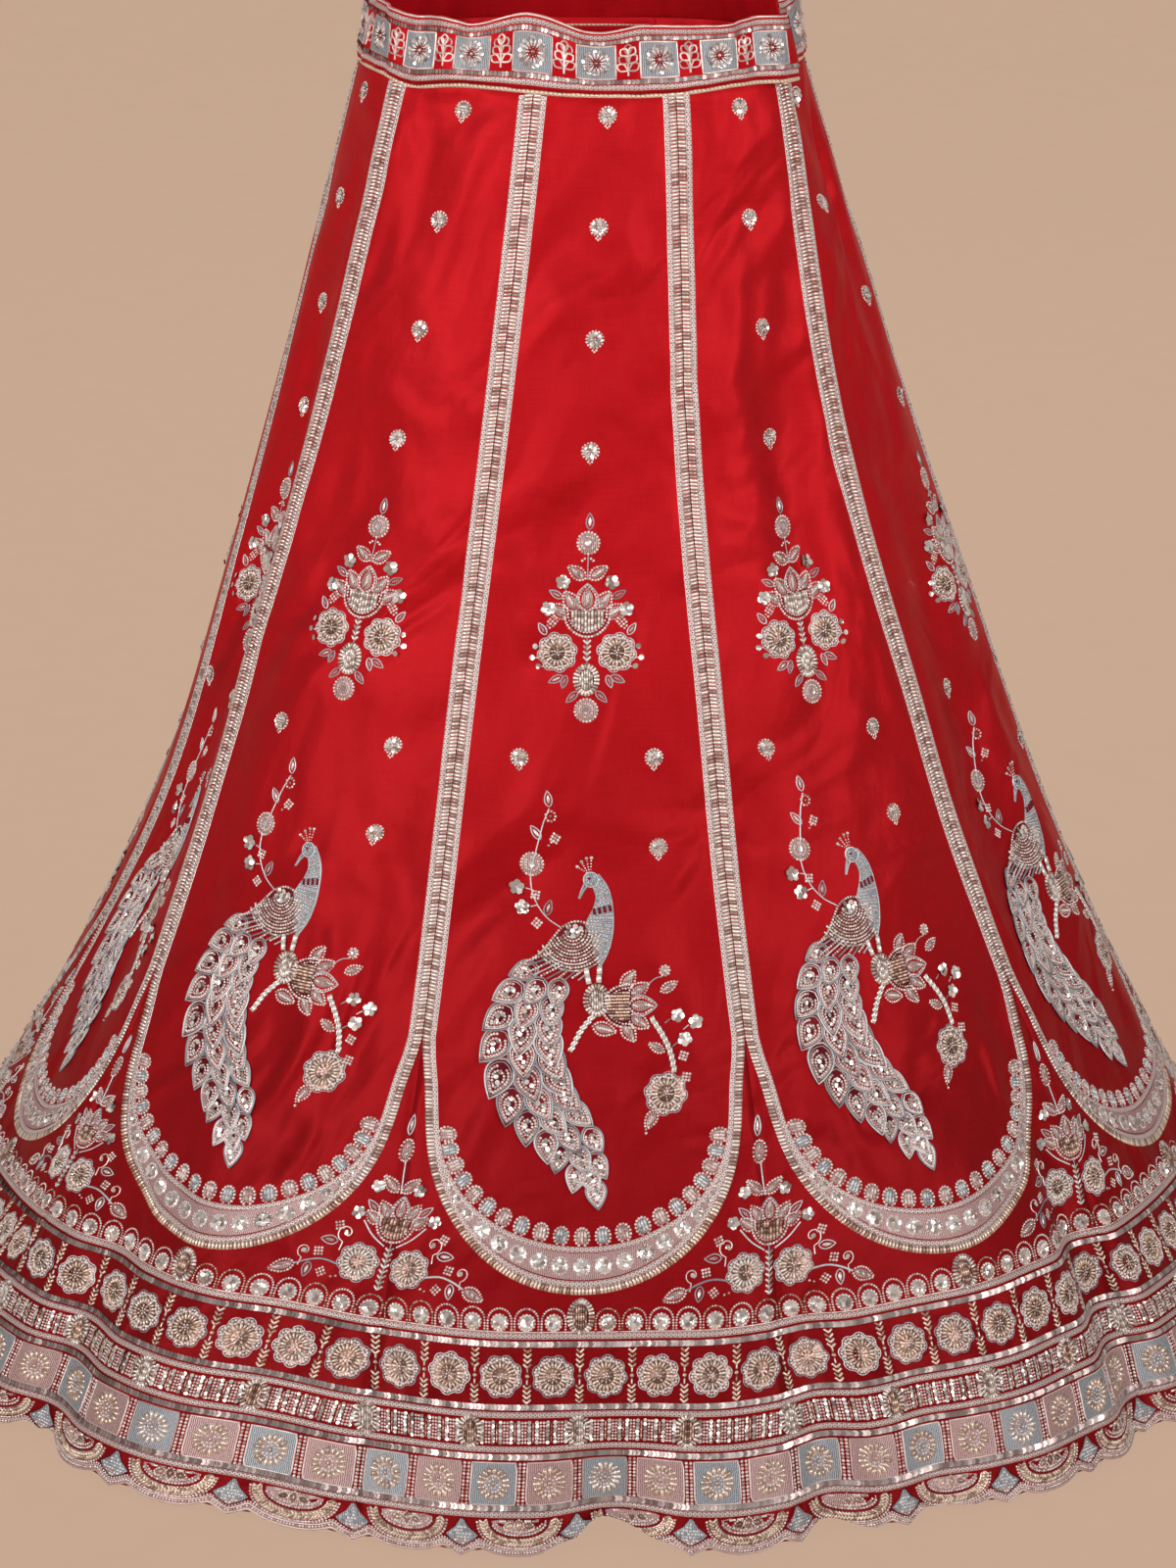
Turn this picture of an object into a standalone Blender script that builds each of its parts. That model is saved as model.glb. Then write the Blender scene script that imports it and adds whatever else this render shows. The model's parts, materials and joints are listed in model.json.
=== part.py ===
"""A lehenga skirt of ten flared panels under an embroidered waistband, hollow, in the form it has when worn.

Metres. Z is up, the front faces -Y and X is to the viewer's right when looking at the front. The origin is the
centre of the waist at half the band's height. Angles are in degrees round Z, from the front towards +X.
"""

import math

import bpy
import numpy as np

# Driving dimensions.
PANELS = 10
SCALLOPS_PER_PANEL = 4
SKIRT_DROP = 0.950  # plumb, from the band's lower edge to the tips of the scallops
BAND_HEIGHT = 0.047
CLOTH = 0.0020  # silk with its embroidery and backing
BAND_CLOTH = 0.0030
BAND_PROUD = 0.0010  # how far the band stands outside the panels
BAND_LEAN = 0.009  # how far the band's top leans in
SEAM_GAP = 0.0003
PIPING_RADIUS = 0.0016
PIPING_SIDES = 6

# The side opening, at the top of the seam before kali_03: there the front band's end laps over the back band's.
OPENING_ANGLE = 57.2
JOIN_ANGLE = -100.0  # where the two bands meet end to end
FRONT_BAND_ANGLES = (JOIN_ANGLE, OPENING_ANGLE + 3.8)
BACK_BAND_ANGLES = (OPENING_ANGLE + 0.4, JOIN_ANGLE + 360.0)
LAP_OUT = 0.0072
LAP_SWELL_ANGLES = (46.0, 55.0)

# Plan sections of the cloth: each is an ellipse.
SECTION_DROP = (-0.02, 0.10, 0.25, 0.40, 0.55, 0.70, 0.82, 0.90, 0.95)
SECTION_HALF_WIDTH = (0.1615, 0.1930, 0.2350, 0.2835, 0.3345, 0.4035, 0.4700, 0.5165, 0.5400)
SECTION_HALF_DEPTH = (0.1280, 0.1595, 0.2012, 0.2505, 0.3030, 0.3720, 0.4400, 0.4880, 0.5130)

# Where each seam runs: its angle at five drops. A seam not listed keeps its even share of the circle.
SEAM_DROP = (-0.02, 0.22, 0.47, 0.72, 0.95)
SEAM_ANGLES = {
    -90: (-90.0, -82.0, -78.0, -82.0, -91.0),
    -54: (-54.0, -56.5, -59.0, -58.0, -60.0),
    -18: (-13.0, -16.5, -18.3, -18.2, -17.8),
    18: (22.2, 17.8, 17.4, 17.2, 16.0),
    54: (57.2, 50.0, 53.3, 55.0, 50.5),
    90: (91.0, 89.0, 87.0, 87.0, 88.0),
}

# Soft folds, each a smooth trough (depth under 0) or ridge running down the skirt.
FOLD_COLUMNS = ("waist_angle", "hem_angle", "half_width", "depth", "starts", "fullest", "ends")
FOLDS = (
    (88, 88, 34, -0.010, -0.20, -0.05, 0.26),
    (-90, -88, 30, -0.010, 0.16, 0.55, 0.88),
    (86, 86, 24, 0.008, 0.18, 0.55, 0.86),
    (-67, -70, 10, -0.017, 0.00, 0.40, 0.90),
    (-40, -49, 6, -0.013, 0.66, 0.92, 1.20),
    (-34, -37, 9, 0.006, 0.50, 0.90, 1.30),
    (-28, -26, 8, -0.005, 0.60, 0.88, 1.20),
    (-8, -9, 9, 0.005, 0.60, 0.92, 1.30),
    (2, 2, 6, -0.020, 0.84, 0.96, 1.20),
    (12, 11, 7, 0.008, 0.70, 0.94, 1.30),
    (21, 19, 4, -0.012, 0.72, 0.93, 1.20),
    (40, 32, 9, -0.006, 0.02, 0.22, 0.60),
    (27, 28, 4, -0.006, 0.78, 0.94, 1.20),
    (36, 37, 7, 0.005, 0.60, 0.92, 1.30),
    (54, 50, 5, -0.016, 0.64, 0.86, 1.20),
    (74, 76, 6, -0.009, 0.00, 0.07, 0.24),
    (68, 64, 10, -0.013, 0.16, 0.50, 0.86),
    (78, 80, 8, 0.008, 0.40, 0.90, 1.30),
    (-83, -84, 8, 0.008, 0.40, 0.92, 1.30),
    (102, 104, 9, -0.014, 0.10, 0.70, 1.20),
    (120, 121, 9, 0.007, 0.30, 0.90, 1.30),
    (138, 136, 8, -0.013, 0.35, 0.90, 1.30),
    (158, 160, 11, -0.008, 0.05, 0.45, 0.95),
    (180, 178, 7, -0.014, 0.62, 0.94, 1.30),
    (197, 196, 9, 0.008, 0.40, 0.92, 1.30),
    (214, 216, 9, -0.015, 0.20, 0.80, 1.30),
    (234, 233, 8, 0.007, 0.50, 0.92, 1.30),
    (252, 250, 8, -0.012, 0.10, 0.60, 1.20),
)

# Where the hem is caught up: its angle, half width and rise.
HEM_LIFTS = (
    (1.8, 5.2, 0.016), (19.0, 3.5, 0.007), (-49.0, 5.0, 0.006), (28.0, 4.0, 0.005), (178.0, 7.0, 0.010),
)

# One scallop, from the middle of one bead fan to the next: share of the pitch, and rise above the lobe's tip.
SCALLOP_SHARE = (0.00, 0.155, 0.32, 0.50, 0.68, 0.845)
SCALLOP_RISE = (0.000, 0.0058, 0.0014, 0.000, 0.0014, 0.0058)
ROW_DROPS = (0.03, 0.14, 0.27, 0.40, 0.54, 0.68, 0.80, 0.90)

# How far the band's edges wave up and down: angle and rise of the lower edge, then of the front's upper edge.
FRONT_EDGE_ANGLE = (-180.0, -100.0, -78.0, -62.0, -50.0, -35.0, 0.0, 20.0, 40.0, 62.0)
FRONT_EDGE_RISE = (0.005, 0.005, 0.003, 0.002, -0.003, 0.002, -0.001, -0.002, 0.001, -0.001)
BACK_EDGE_ANGLE = (56.0, 70.0, 90.0, 120.0, 150.0, 180.0, 220.0, 260.0)
BACK_EDGE_RISE = (0.009, 0.009, 0.007, 0.005, 0.004, 0.002, 0.006, 0.005)
FRONT_TOP_ANGLE = (-100.0, -60.0, -42.0, -31.0, -16.0, 3.0, 14.0, 26.0, 38.0, 50.0, 61.0)
FRONT_TOP_RISE = (0.002, -0.001, 0.000, -0.006, 0.005, -0.005, 0.000, -0.003, -0.006, -0.003, -0.004)

# Small waves of the band: how many go round, how high, and the phase. They die out at its lower edge.
BAND_PUCKERS = ((11, 0.0016, 0.6), (19, 0.0010, 2.0))
BACK_TOP_WAVES = ((9, 0.0024, 1.0), (16, 0.0018, 0.4))

BAND_STEP = 4.5  # degrees between the band's sections
BAND_ROWS = 3
SETTLING_ROUNDS = 3
EDGE_INSET = 1.0  # degrees: a panel's top corners take the drop found this far inside its seams
CREASE_ANGLE = 50.0  # sharper edges than this are shaded as edges


def through(x, knots, values):
    """A smooth curve through the points of a short table, read at x."""
    knots, values = np.asarray(knots, float), np.asarray(values, float)
    slopes = np.gradient(values, knots)
    x = np.clip(x, knots[0], knots[-1])
    left = np.clip(np.searchsorted(knots, x, side="right") - 1, 0, len(knots) - 2)
    span = knots[left + 1] - knots[left]
    t = (x - knots[left]) / span
    return (
        values[left] * (1 + 2 * t) * (1 - t) ** 2
        + slopes[left] * span * t * (1 - t) ** 2
        + values[left + 1] * t * t * (3 - 2 * t)
        + slopes[left + 1] * span * t * t * (t - 1)
    )


def ease(t):
    t = np.clip(t, 0.0, 1.0)
    return t * t * (3 - 2 * t)


def bell(distance, half_width):
    """1 at the middle, 0 from half_width on, smooth between."""
    return 0.5 + 0.5 * np.cos(np.pi * np.clip(np.abs(distance) / half_width, 0.0, 1.0))


def turned(angle):
    """An angle brought between -180 and 180."""
    return (np.asarray(angle, float) + 180.0) % 360.0 - 180.0


def fold_offset(angle, drop):
    offset = np.zeros(np.broadcast(angle, drop).shape)
    for row in FOLDS:
        fold = dict(zip(FOLD_COLUMNS, row))
        middle = fold["waist_angle"] + (fold["hem_angle"] - fold["waist_angle"]) * drop / SKIRT_DROP
        grows = ease((drop - fold["starts"]) / (fold["fullest"] - fold["starts"]))
        fades = ease((fold["ends"] - drop) / (fold["ends"] - fold["fullest"]))
        offset += fold["depth"] * grows * fades * bell(turned(angle - middle), fold["half_width"])
    return offset


def skirt_point(angle, drop, out=0.0):
    """A point of the cloth's outer face, or one moved out from it in plan."""
    half_width = through(drop, SECTION_DROP, SECTION_HALF_WIDTH)
    half_depth = through(drop, SECTION_DROP, SECTION_HALF_DEPTH)
    turn = np.radians(angle)
    away = np.stack([half_depth * np.sin(turn), -half_width * np.cos(turn)], axis=-1)
    away /= np.linalg.norm(away, axis=-1, keepdims=True)
    plan = np.stack([half_width * np.sin(turn), -half_depth * np.cos(turn)], axis=-1)
    plan = plan + away * (fold_offset(angle, drop) + out)[..., None]
    height = -BAND_HEIGHT / 2 - drop + 0 * turn
    return np.concatenate([plan, height[..., None]], axis=-1)


def skirt_normal(angle, drop):
    """The outward direction of the cloth."""
    step_angle, step_drop = 0.2, 0.002
    across = skirt_point(angle + step_angle, drop) - skirt_point(angle - step_angle, drop)
    down = skirt_point(angle, drop + step_drop) - skirt_point(angle, drop - step_drop)
    normal = np.cross(down, across)
    return normal / np.linalg.norm(normal, axis=-1, keepdims=True)


def seam_angle(index, drop):
    """The angle of the seam after panel number index, at each drop."""
    even = (index + 0.5) * 360.0 / PANELS
    whole_turns = 360.0 * round(even / 360.0 - 1e-9)
    listed = SEAM_ANGLES.get(int(round(even - whole_turns)))
    if listed is None:
        return even + 0 * drop
    return through(drop, SEAM_DROP, listed) + whole_turns


def band_edge(angle, is_front):
    """The rise of the waistband's lower edge."""
    if is_front:
        return through(angle, FRONT_EDGE_ANGLE, FRONT_EDGE_RISE)
    return through(angle, BACK_EDGE_ANGLE, BACK_EDGE_RISE)


def panel_top(angle):
    """The drop of the panels' upper edge, under the piping of the band that lies over it."""
    angle = (np.asarray(angle, float) - JOIN_ANGLE) % 360.0 + JOIN_ANGLE
    under_front = angle < OPENING_ANGLE
    rise = np.where(under_front, band_edge(angle, True), band_edge(angle, False))
    return 2 * PIPING_RADIUS + 2 * SEAM_GAP - rise


def waves(turn, table):
    return sum(size * np.sin(count * turn + phase) for count, size, phase in table)


def hem_rise(angle):
    rise = 0 * angle
    for middle, half_width, lift in HEM_LIFTS:
        rise = rise + lift * bell(turned(angle - middle), half_width)
    return rise


def grid_faces(rows, columns):
    """Faces of a wall: its outer grid of points, then its inner grid, closed round the four edges.

    The edges' triangles split the same way on both sides of a seam, so that neighbours stay apart.
    """
    outer = np.arange(rows * columns).reshape(rows, columns)
    inner = outer + rows * columns
    faces = []
    for row in range(rows - 1):
        for column in range(columns - 1):
            corners = ((row, column), (row + 1, column), (row + 1, column + 1), (row, column + 1))
            faces.append([outer[corner] for corner in corners])
            faces.append([inner[corner] for corner in reversed(corners)])
    rim = [(0, column) for column in range(columns)]
    rim += [(row, columns - 1) for row in range(1, rows)]
    rim += [(rows - 1, column) for column in reversed(range(columns - 1))]
    rim += [(row, 0) for row in reversed(range(1, rows - 1))]
    for corner, following in zip(rim, rim[1:] + rim[:1]):
        if corner < following:
            faces.append([outer[corner], outer[following], inner[following]])
            faces.append([outer[corner], inner[following], inner[corner]])
        else:
            faces.append([outer[corner], outer[following], inner[corner]])
            faces.append([outer[following], inner[following], inner[corner]])
    return faces


def make_object(name, points, faces, material):
    mesh = bpy.data.meshes.new(name)
    points = [tuple(map(float, point)) for point in points]
    mesh.from_pydata(points, [], [tuple(map(int, face)) for face in faces])
    mesh.validate()
    mesh.materials.append(material)
    mesh.shade_smooth()
    mesh.set_sharp_from_angle(angle=math.radians(CREASE_ANGLE))
    piece = bpy.data.objects.new(name, mesh)
    bpy.context.scene.collection.objects.link(piece)
    return piece


def make_wall(name, outer, inner, material):
    rows, columns = outer.shape[:2]
    points = np.concatenate([outer.reshape(-1, 3), inner.reshape(-1, 3)])
    return make_object(name, points, grid_faces(rows, columns), material)


def make_material(name, colour, roughness, metallic=0.0):
    material = bpy.data.materials.new(name)
    material.use_nodes = True
    shader = material.node_tree.nodes["Principled BSDF"]
    shader.inputs["Base Color"].default_value = (*colour, 1.0)
    shader.inputs["Roughness"].default_value = roughness
    shader.inputs["Metallic"].default_value = metallic
    return material


def make_panel(index, material):
    """One kali between two seams, with its scallops."""
    shares = [
        (scallop + share) / SCALLOPS_PER_PANEL
        for scallop in range(SCALLOPS_PER_PANEL)
        for share in SCALLOP_SHARE
    ]
    shares = np.array(shares + [1.0])
    rises = np.array(list(SCALLOP_RISE) * SCALLOPS_PER_PANEL + [SCALLOP_RISE[0]])
    top, hem = 0, len(ROW_DROPS) + 1
    angles, drops = [], []
    for row in range(hem + 1):
        drop = np.full(len(shares), (0.0, *ROW_DROPS, SKIRT_DROP)[row])
        # The edges' drops depend on the angle and the angle on the drop, so they settle together.
        for _ in range(SETTLING_ROUNDS):
            left, right = seam_angle(index - 1, drop), seam_angle(index, drop)
            half_gap = np.degrees(SEAM_GAP / 2 / through(drop, SECTION_DROP, SECTION_HALF_WIDTH))
            angle = left + half_gap + (right - left - 2 * half_gap) * shares
            if row == top:
                drop = panel_top(angle.clip(left + EDGE_INSET, right - EDGE_INSET))
            elif row == hem:
                drop = SKIRT_DROP - rises - hem_rise(angle)
        angles.append(angle)
        drops.append(drop)
    angles, drops = np.array(angles), np.array(drops)
    face = skirt_point(angles, drops)
    return make_wall(f"kali_{index + 1:02d}", face, face - CLOTH * skirt_normal(angles, drops), material)


def band_surface(angle, height, is_front):
    """Outer face of the band at a height above its lower edge, with the drawn-in band's small puckers."""
    share = height / BAND_HEIGHT
    turn = np.radians(angle)
    out = BAND_PROUD - BAND_LEAN * share + waves(turn, BAND_PUCKERS) * share
    if is_front:
        first, last = LAP_SWELL_ANGLES
        out = out + LAP_OUT * ease((angle - first) / (last - first))
    point = skirt_point(angle, 0 * angle, out)
    if is_front:
        top_wave = through(angle, FRONT_TOP_ANGLE, FRONT_TOP_RISE)
    else:
        top_wave = waves(turn, BACK_TOP_WAVES)
    point[..., 2] += band_edge(angle, is_front) + height + top_wave * share
    return point


def band_angles(is_front):
    first, last = FRONT_BAND_ANGLES if is_front else BACK_BAND_ANGLES
    half_gap = 0 if is_front else math.degrees(SEAM_GAP / SECTION_HALF_WIDTH[0])
    return np.linspace(first, last - half_gap, int((last - first) / BAND_STEP) + 1)


def make_band(name, is_front, material):
    angles, heights = np.meshgrid(band_angles(is_front), np.linspace(BAND_HEIGHT, 0.0, BAND_ROWS + 1))
    outer = band_surface(angles, heights, is_front)
    turn = np.radians(angles)
    inward = np.stack([-np.sin(turn), np.cos(turn), 0 * turn], axis=-1)
    return make_wall(name, outer, outer + BAND_CLOTH * inward, material)


def make_piping(name, is_front, material):
    """A round cord under the band's lower edge."""
    angles = band_angles(is_front)
    edge = band_surface(angles, 0 * angles, is_front)
    turn = np.radians(angles)
    outward = np.stack([np.sin(turn), -np.cos(turn), 0 * turn], axis=-1)
    up = np.array([0.0, 0.0, 1.0])
    middle = edge - PIPING_RADIUS * outward - (PIPING_RADIUS + SEAM_GAP) * up
    points = []
    for side in range(PIPING_SIDES):
        spin = 2 * math.pi * (side + 0.5) / PIPING_SIDES
        points.append(middle + PIPING_RADIUS * (math.cos(spin) * outward + math.sin(spin) * up))
    points = np.array(points).transpose(1, 0, 2).reshape(-1, 3)
    faces = [list(range(PIPING_SIDES))]
    for section in range(len(angles) - 1):
        for side in range(PIPING_SIDES):
            here, there = section * PIPING_SIDES, (section + 1) * PIPING_SIDES
            beside = (side + 1) % PIPING_SIDES
            faces.append([here + side, there + side, there + beside, here + beside])
    faces.append([len(points) - 1 - side for side in range(PIPING_SIDES)])
    return make_object(name, points, faces, material)


def main():
    for thing in list(bpy.data.objects):
        bpy.data.objects.remove(thing)
    silk = make_material("red_silk", (0.53, 0.012, 0.022), 0.42)
    belt = make_material("embroidered_belt", (0.45, 0.26, 0.25), 0.45)
    cord = make_material("cream_cord", (0.78, 0.58, 0.42), 0.6)
    for index in range(PANELS):
        make_panel(index, silk)
    for side in ("front", "back"):
        make_band(f"waistband_{side}", side == "front", belt)
        make_piping(f"piping_{side}", side == "front", cord)


main()
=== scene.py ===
"""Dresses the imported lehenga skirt: ten silk panels with their creases, the embroidered waistband, its cord
piping, and all of the beads, bugles, sequins, cords and lace that are sewn to them.

Metres. Z is up, the front faces -Y and X is to the viewer's right. Angles are in degrees from the front.
"""

import json
import math
from functools import partial

import bpy
import numpy as np
from mathutils import Vector
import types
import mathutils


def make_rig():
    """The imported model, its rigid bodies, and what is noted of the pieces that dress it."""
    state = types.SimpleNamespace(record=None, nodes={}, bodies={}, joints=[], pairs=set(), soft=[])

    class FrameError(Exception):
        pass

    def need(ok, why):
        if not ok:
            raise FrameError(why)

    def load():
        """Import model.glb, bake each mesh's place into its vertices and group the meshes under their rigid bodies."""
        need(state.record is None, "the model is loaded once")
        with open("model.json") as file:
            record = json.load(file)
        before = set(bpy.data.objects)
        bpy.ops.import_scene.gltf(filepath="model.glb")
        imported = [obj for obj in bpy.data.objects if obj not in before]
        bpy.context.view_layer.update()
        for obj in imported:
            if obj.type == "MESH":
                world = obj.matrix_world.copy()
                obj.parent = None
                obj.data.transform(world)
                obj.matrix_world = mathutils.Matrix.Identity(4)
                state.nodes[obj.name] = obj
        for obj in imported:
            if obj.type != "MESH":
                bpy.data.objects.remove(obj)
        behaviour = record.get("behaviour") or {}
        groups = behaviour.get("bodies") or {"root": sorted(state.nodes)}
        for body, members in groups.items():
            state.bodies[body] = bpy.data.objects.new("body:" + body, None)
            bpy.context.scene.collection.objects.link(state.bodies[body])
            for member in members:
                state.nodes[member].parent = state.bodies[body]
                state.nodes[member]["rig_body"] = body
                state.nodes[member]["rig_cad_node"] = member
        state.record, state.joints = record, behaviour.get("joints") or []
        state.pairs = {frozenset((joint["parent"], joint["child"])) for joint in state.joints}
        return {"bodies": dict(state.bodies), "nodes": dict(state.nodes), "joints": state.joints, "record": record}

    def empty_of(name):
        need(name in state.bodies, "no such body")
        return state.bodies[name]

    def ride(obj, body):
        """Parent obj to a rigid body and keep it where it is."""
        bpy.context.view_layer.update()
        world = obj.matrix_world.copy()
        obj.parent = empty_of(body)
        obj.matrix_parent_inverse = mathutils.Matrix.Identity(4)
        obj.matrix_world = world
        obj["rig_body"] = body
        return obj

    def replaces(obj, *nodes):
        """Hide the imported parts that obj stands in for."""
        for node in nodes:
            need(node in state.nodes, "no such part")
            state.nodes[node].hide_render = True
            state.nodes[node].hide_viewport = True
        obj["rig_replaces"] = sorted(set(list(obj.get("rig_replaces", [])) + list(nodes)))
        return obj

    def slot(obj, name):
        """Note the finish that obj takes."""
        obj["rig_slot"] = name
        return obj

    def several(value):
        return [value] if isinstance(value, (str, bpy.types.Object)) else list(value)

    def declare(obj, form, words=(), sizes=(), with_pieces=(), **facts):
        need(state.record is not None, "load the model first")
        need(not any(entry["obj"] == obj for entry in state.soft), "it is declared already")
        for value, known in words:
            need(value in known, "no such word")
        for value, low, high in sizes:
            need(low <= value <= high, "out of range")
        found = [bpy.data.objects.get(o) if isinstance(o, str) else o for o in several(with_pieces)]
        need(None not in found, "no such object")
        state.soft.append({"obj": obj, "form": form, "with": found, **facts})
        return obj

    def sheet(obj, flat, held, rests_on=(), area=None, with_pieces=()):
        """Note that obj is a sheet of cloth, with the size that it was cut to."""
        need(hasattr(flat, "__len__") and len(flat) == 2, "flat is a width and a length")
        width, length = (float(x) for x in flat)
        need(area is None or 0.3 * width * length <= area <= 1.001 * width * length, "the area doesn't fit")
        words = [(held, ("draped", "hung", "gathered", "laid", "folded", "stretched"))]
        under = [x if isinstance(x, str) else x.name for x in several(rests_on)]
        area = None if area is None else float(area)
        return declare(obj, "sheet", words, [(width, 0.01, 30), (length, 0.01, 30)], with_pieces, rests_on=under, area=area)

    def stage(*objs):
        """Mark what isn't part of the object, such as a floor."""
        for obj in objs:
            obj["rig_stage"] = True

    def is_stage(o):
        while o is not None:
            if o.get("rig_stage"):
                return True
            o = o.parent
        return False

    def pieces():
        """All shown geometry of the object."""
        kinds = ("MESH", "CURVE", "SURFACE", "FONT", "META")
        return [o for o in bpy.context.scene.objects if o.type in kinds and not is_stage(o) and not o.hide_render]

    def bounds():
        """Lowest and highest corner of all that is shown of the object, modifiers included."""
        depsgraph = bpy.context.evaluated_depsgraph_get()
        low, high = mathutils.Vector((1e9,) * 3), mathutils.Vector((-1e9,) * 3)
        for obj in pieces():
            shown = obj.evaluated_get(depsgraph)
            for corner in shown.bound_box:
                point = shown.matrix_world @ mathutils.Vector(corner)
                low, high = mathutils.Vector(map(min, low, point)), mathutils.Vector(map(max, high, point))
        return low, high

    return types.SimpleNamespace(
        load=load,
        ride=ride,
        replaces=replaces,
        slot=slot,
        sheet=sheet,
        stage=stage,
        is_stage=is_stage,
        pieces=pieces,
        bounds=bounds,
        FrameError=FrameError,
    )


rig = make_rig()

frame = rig.load()
CAD_BOX = [list(corner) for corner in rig.bounds()]

rng = np.random.default_rng(41)

# ---------------------------------------------------------------- the form, with the same numbers as the solids

PANELS = 10
SCALLOPS = 4
SKIRT_DROP = 0.950
BAND_HEIGHT = 0.047
BAND_PROUD = 0.0010
BAND_LEAN = 0.009
SEAM_GAP = 0.0003
PIPING_RADIUS = 0.0016
OPENING_ANGLE = 57.2
JOIN_ANGLE = -100.0
FRONT_BAND_ANGLES = (JOIN_ANGLE, OPENING_ANGLE + 3.8)
BACK_BAND_ANGLES = (OPENING_ANGLE + 0.4, JOIN_ANGLE + 360.0)
LAP_OUT = 0.0072
LAP_SWELL_ANGLES = (46.0, 55.0)
SECTION_DROP = (-0.02, 0.10, 0.25, 0.40, 0.55, 0.70, 0.82, 0.90, 0.95)
SECTION_HALF_WIDTH = (0.1615, 0.1930, 0.2350, 0.2835, 0.3345, 0.4035, 0.4700, 0.5165, 0.5400)
SECTION_HALF_DEPTH = (0.1280, 0.1595, 0.2012, 0.2505, 0.3030, 0.3720, 0.4400, 0.4880, 0.5130)
SEAM_DROP = (-0.02, 0.22, 0.47, 0.72, 0.95)
SEAM_ANGLES = {
    -90: (-90.0, -82.0, -78.0, -82.0, -91.0),
    -54: (-54.0, -56.5, -59.0, -58.0, -60.0),
    -18: (-13.0, -16.5, -18.3, -18.2, -17.8),
    18: (22.2, 17.8, 17.4, 17.2, 16.0),
    54: (57.2, 50.0, 53.3, 55.0, 50.5),
    90: (91.0, 89.0, 87.0, 87.0, 88.0),
}
# Folds: angle at the waist, at the hem, half width, depth, and the drops where it starts, is fullest and ends.
FOLDS = np.array((
    (88, 88, 34, -0.010, -0.20, -0.05, 0.26),
    (-90, -88, 30, -0.010, 0.16, 0.55, 0.88),
    (86, 86, 24, 0.008, 0.18, 0.55, 0.86),
    (-67, -70, 10, -0.017, 0.00, 0.40, 0.90),
    (-40, -49, 6, -0.013, 0.66, 0.92, 1.20),
    (-34, -37, 9, 0.006, 0.50, 0.90, 1.30),
    (-28, -26, 8, -0.005, 0.60, 0.88, 1.20),
    (-8, -9, 9, 0.005, 0.60, 0.92, 1.30),
    (2, 2, 6, -0.020, 0.84, 0.96, 1.20),
    (12, 11, 7, 0.008, 0.70, 0.94, 1.30),
    (21, 19, 4, -0.012, 0.72, 0.93, 1.20),
    (40, 32, 9, -0.006, 0.02, 0.22, 0.60),
    (27, 28, 4, -0.006, 0.78, 0.94, 1.20),
    (36, 37, 7, 0.005, 0.60, 0.92, 1.30),
    (54, 50, 5, -0.016, 0.64, 0.86, 1.20),
    (74, 76, 6, -0.009, 0.00, 0.07, 0.24),
    (68, 64, 10, -0.013, 0.16, 0.50, 0.86),
    (78, 80, 8, 0.008, 0.40, 0.90, 1.30),
    (-83, -84, 8, 0.008, 0.40, 0.92, 1.30),
    (102, 104, 9, -0.014, 0.10, 0.70, 1.20),
    (120, 121, 9, 0.007, 0.30, 0.90, 1.30),
    (138, 136, 8, -0.013, 0.35, 0.90, 1.30),
    (158, 160, 11, -0.008, 0.05, 0.45, 0.95),
    (180, 178, 7, -0.014, 0.62, 0.94, 1.30),
    (197, 196, 9, 0.008, 0.40, 0.92, 1.30),
    (214, 216, 9, -0.015, 0.20, 0.80, 1.30),
    (234, 233, 8, 0.007, 0.50, 0.92, 1.30),
    (252, 250, 8, -0.012, 0.10, 0.60, 1.20),
))
HEM_LIFTS = (
    (1.8, 5.2, 0.016), (19.0, 3.5, 0.007), (-49.0, 5.0, 0.006), (28.0, 4.0, 0.005), (178.0, 7.0, 0.010),
)
FRONT_EDGE_ANGLE = (-180.0, -100.0, -78.0, -62.0, -50.0, -35.0, 0.0, 20.0, 40.0, 62.0)
FRONT_EDGE_RISE = (0.005, 0.005, 0.003, 0.002, -0.003, 0.002, -0.001, -0.002, 0.001, -0.001)
BACK_EDGE_ANGLE = (56.0, 70.0, 90.0, 120.0, 150.0, 180.0, 220.0, 260.0)
BACK_EDGE_RISE = (0.009, 0.009, 0.007, 0.005, 0.004, 0.002, 0.006, 0.005)
FRONT_TOP_ANGLE = (-100.0, -60.0, -42.0, -31.0, -16.0, 3.0, 14.0, 26.0, 38.0, 50.0, 61.0)
FRONT_TOP_RISE = (0.002, -0.001, 0.000, -0.006, 0.005, -0.005, 0.000, -0.003, -0.006, -0.003, -0.004)
BAND_PUCKERS = ((11, 0.0016, 0.6), (19, 0.0010, 2.0))
BACK_TOP_WAVES = ((9, 0.0024, 1.0), (16, 0.0018, 0.4))

# ---------------------------------------------------------------- what this script adds to the form

COLUMNS, ROWS = 41, 81  # points of a panel's cloth, across and down
SHELL = 0.0011  # thickness of the cloth alone
TUCK = 0.0075  # how far the panels run up behind the waistband
FAN_SHARE = 0.155  # half of the bead fan between two scallops, as a share of their pitch
VALLEY_RISE = 0.0058  # height of the notch between a scallop and a fan

CLOTH_MM = 1080  # mm along the cloth in a metre of drop, near enough for the creases
CREASE_REACH = 60  # mm round a crease beyond which it does nothing

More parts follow.
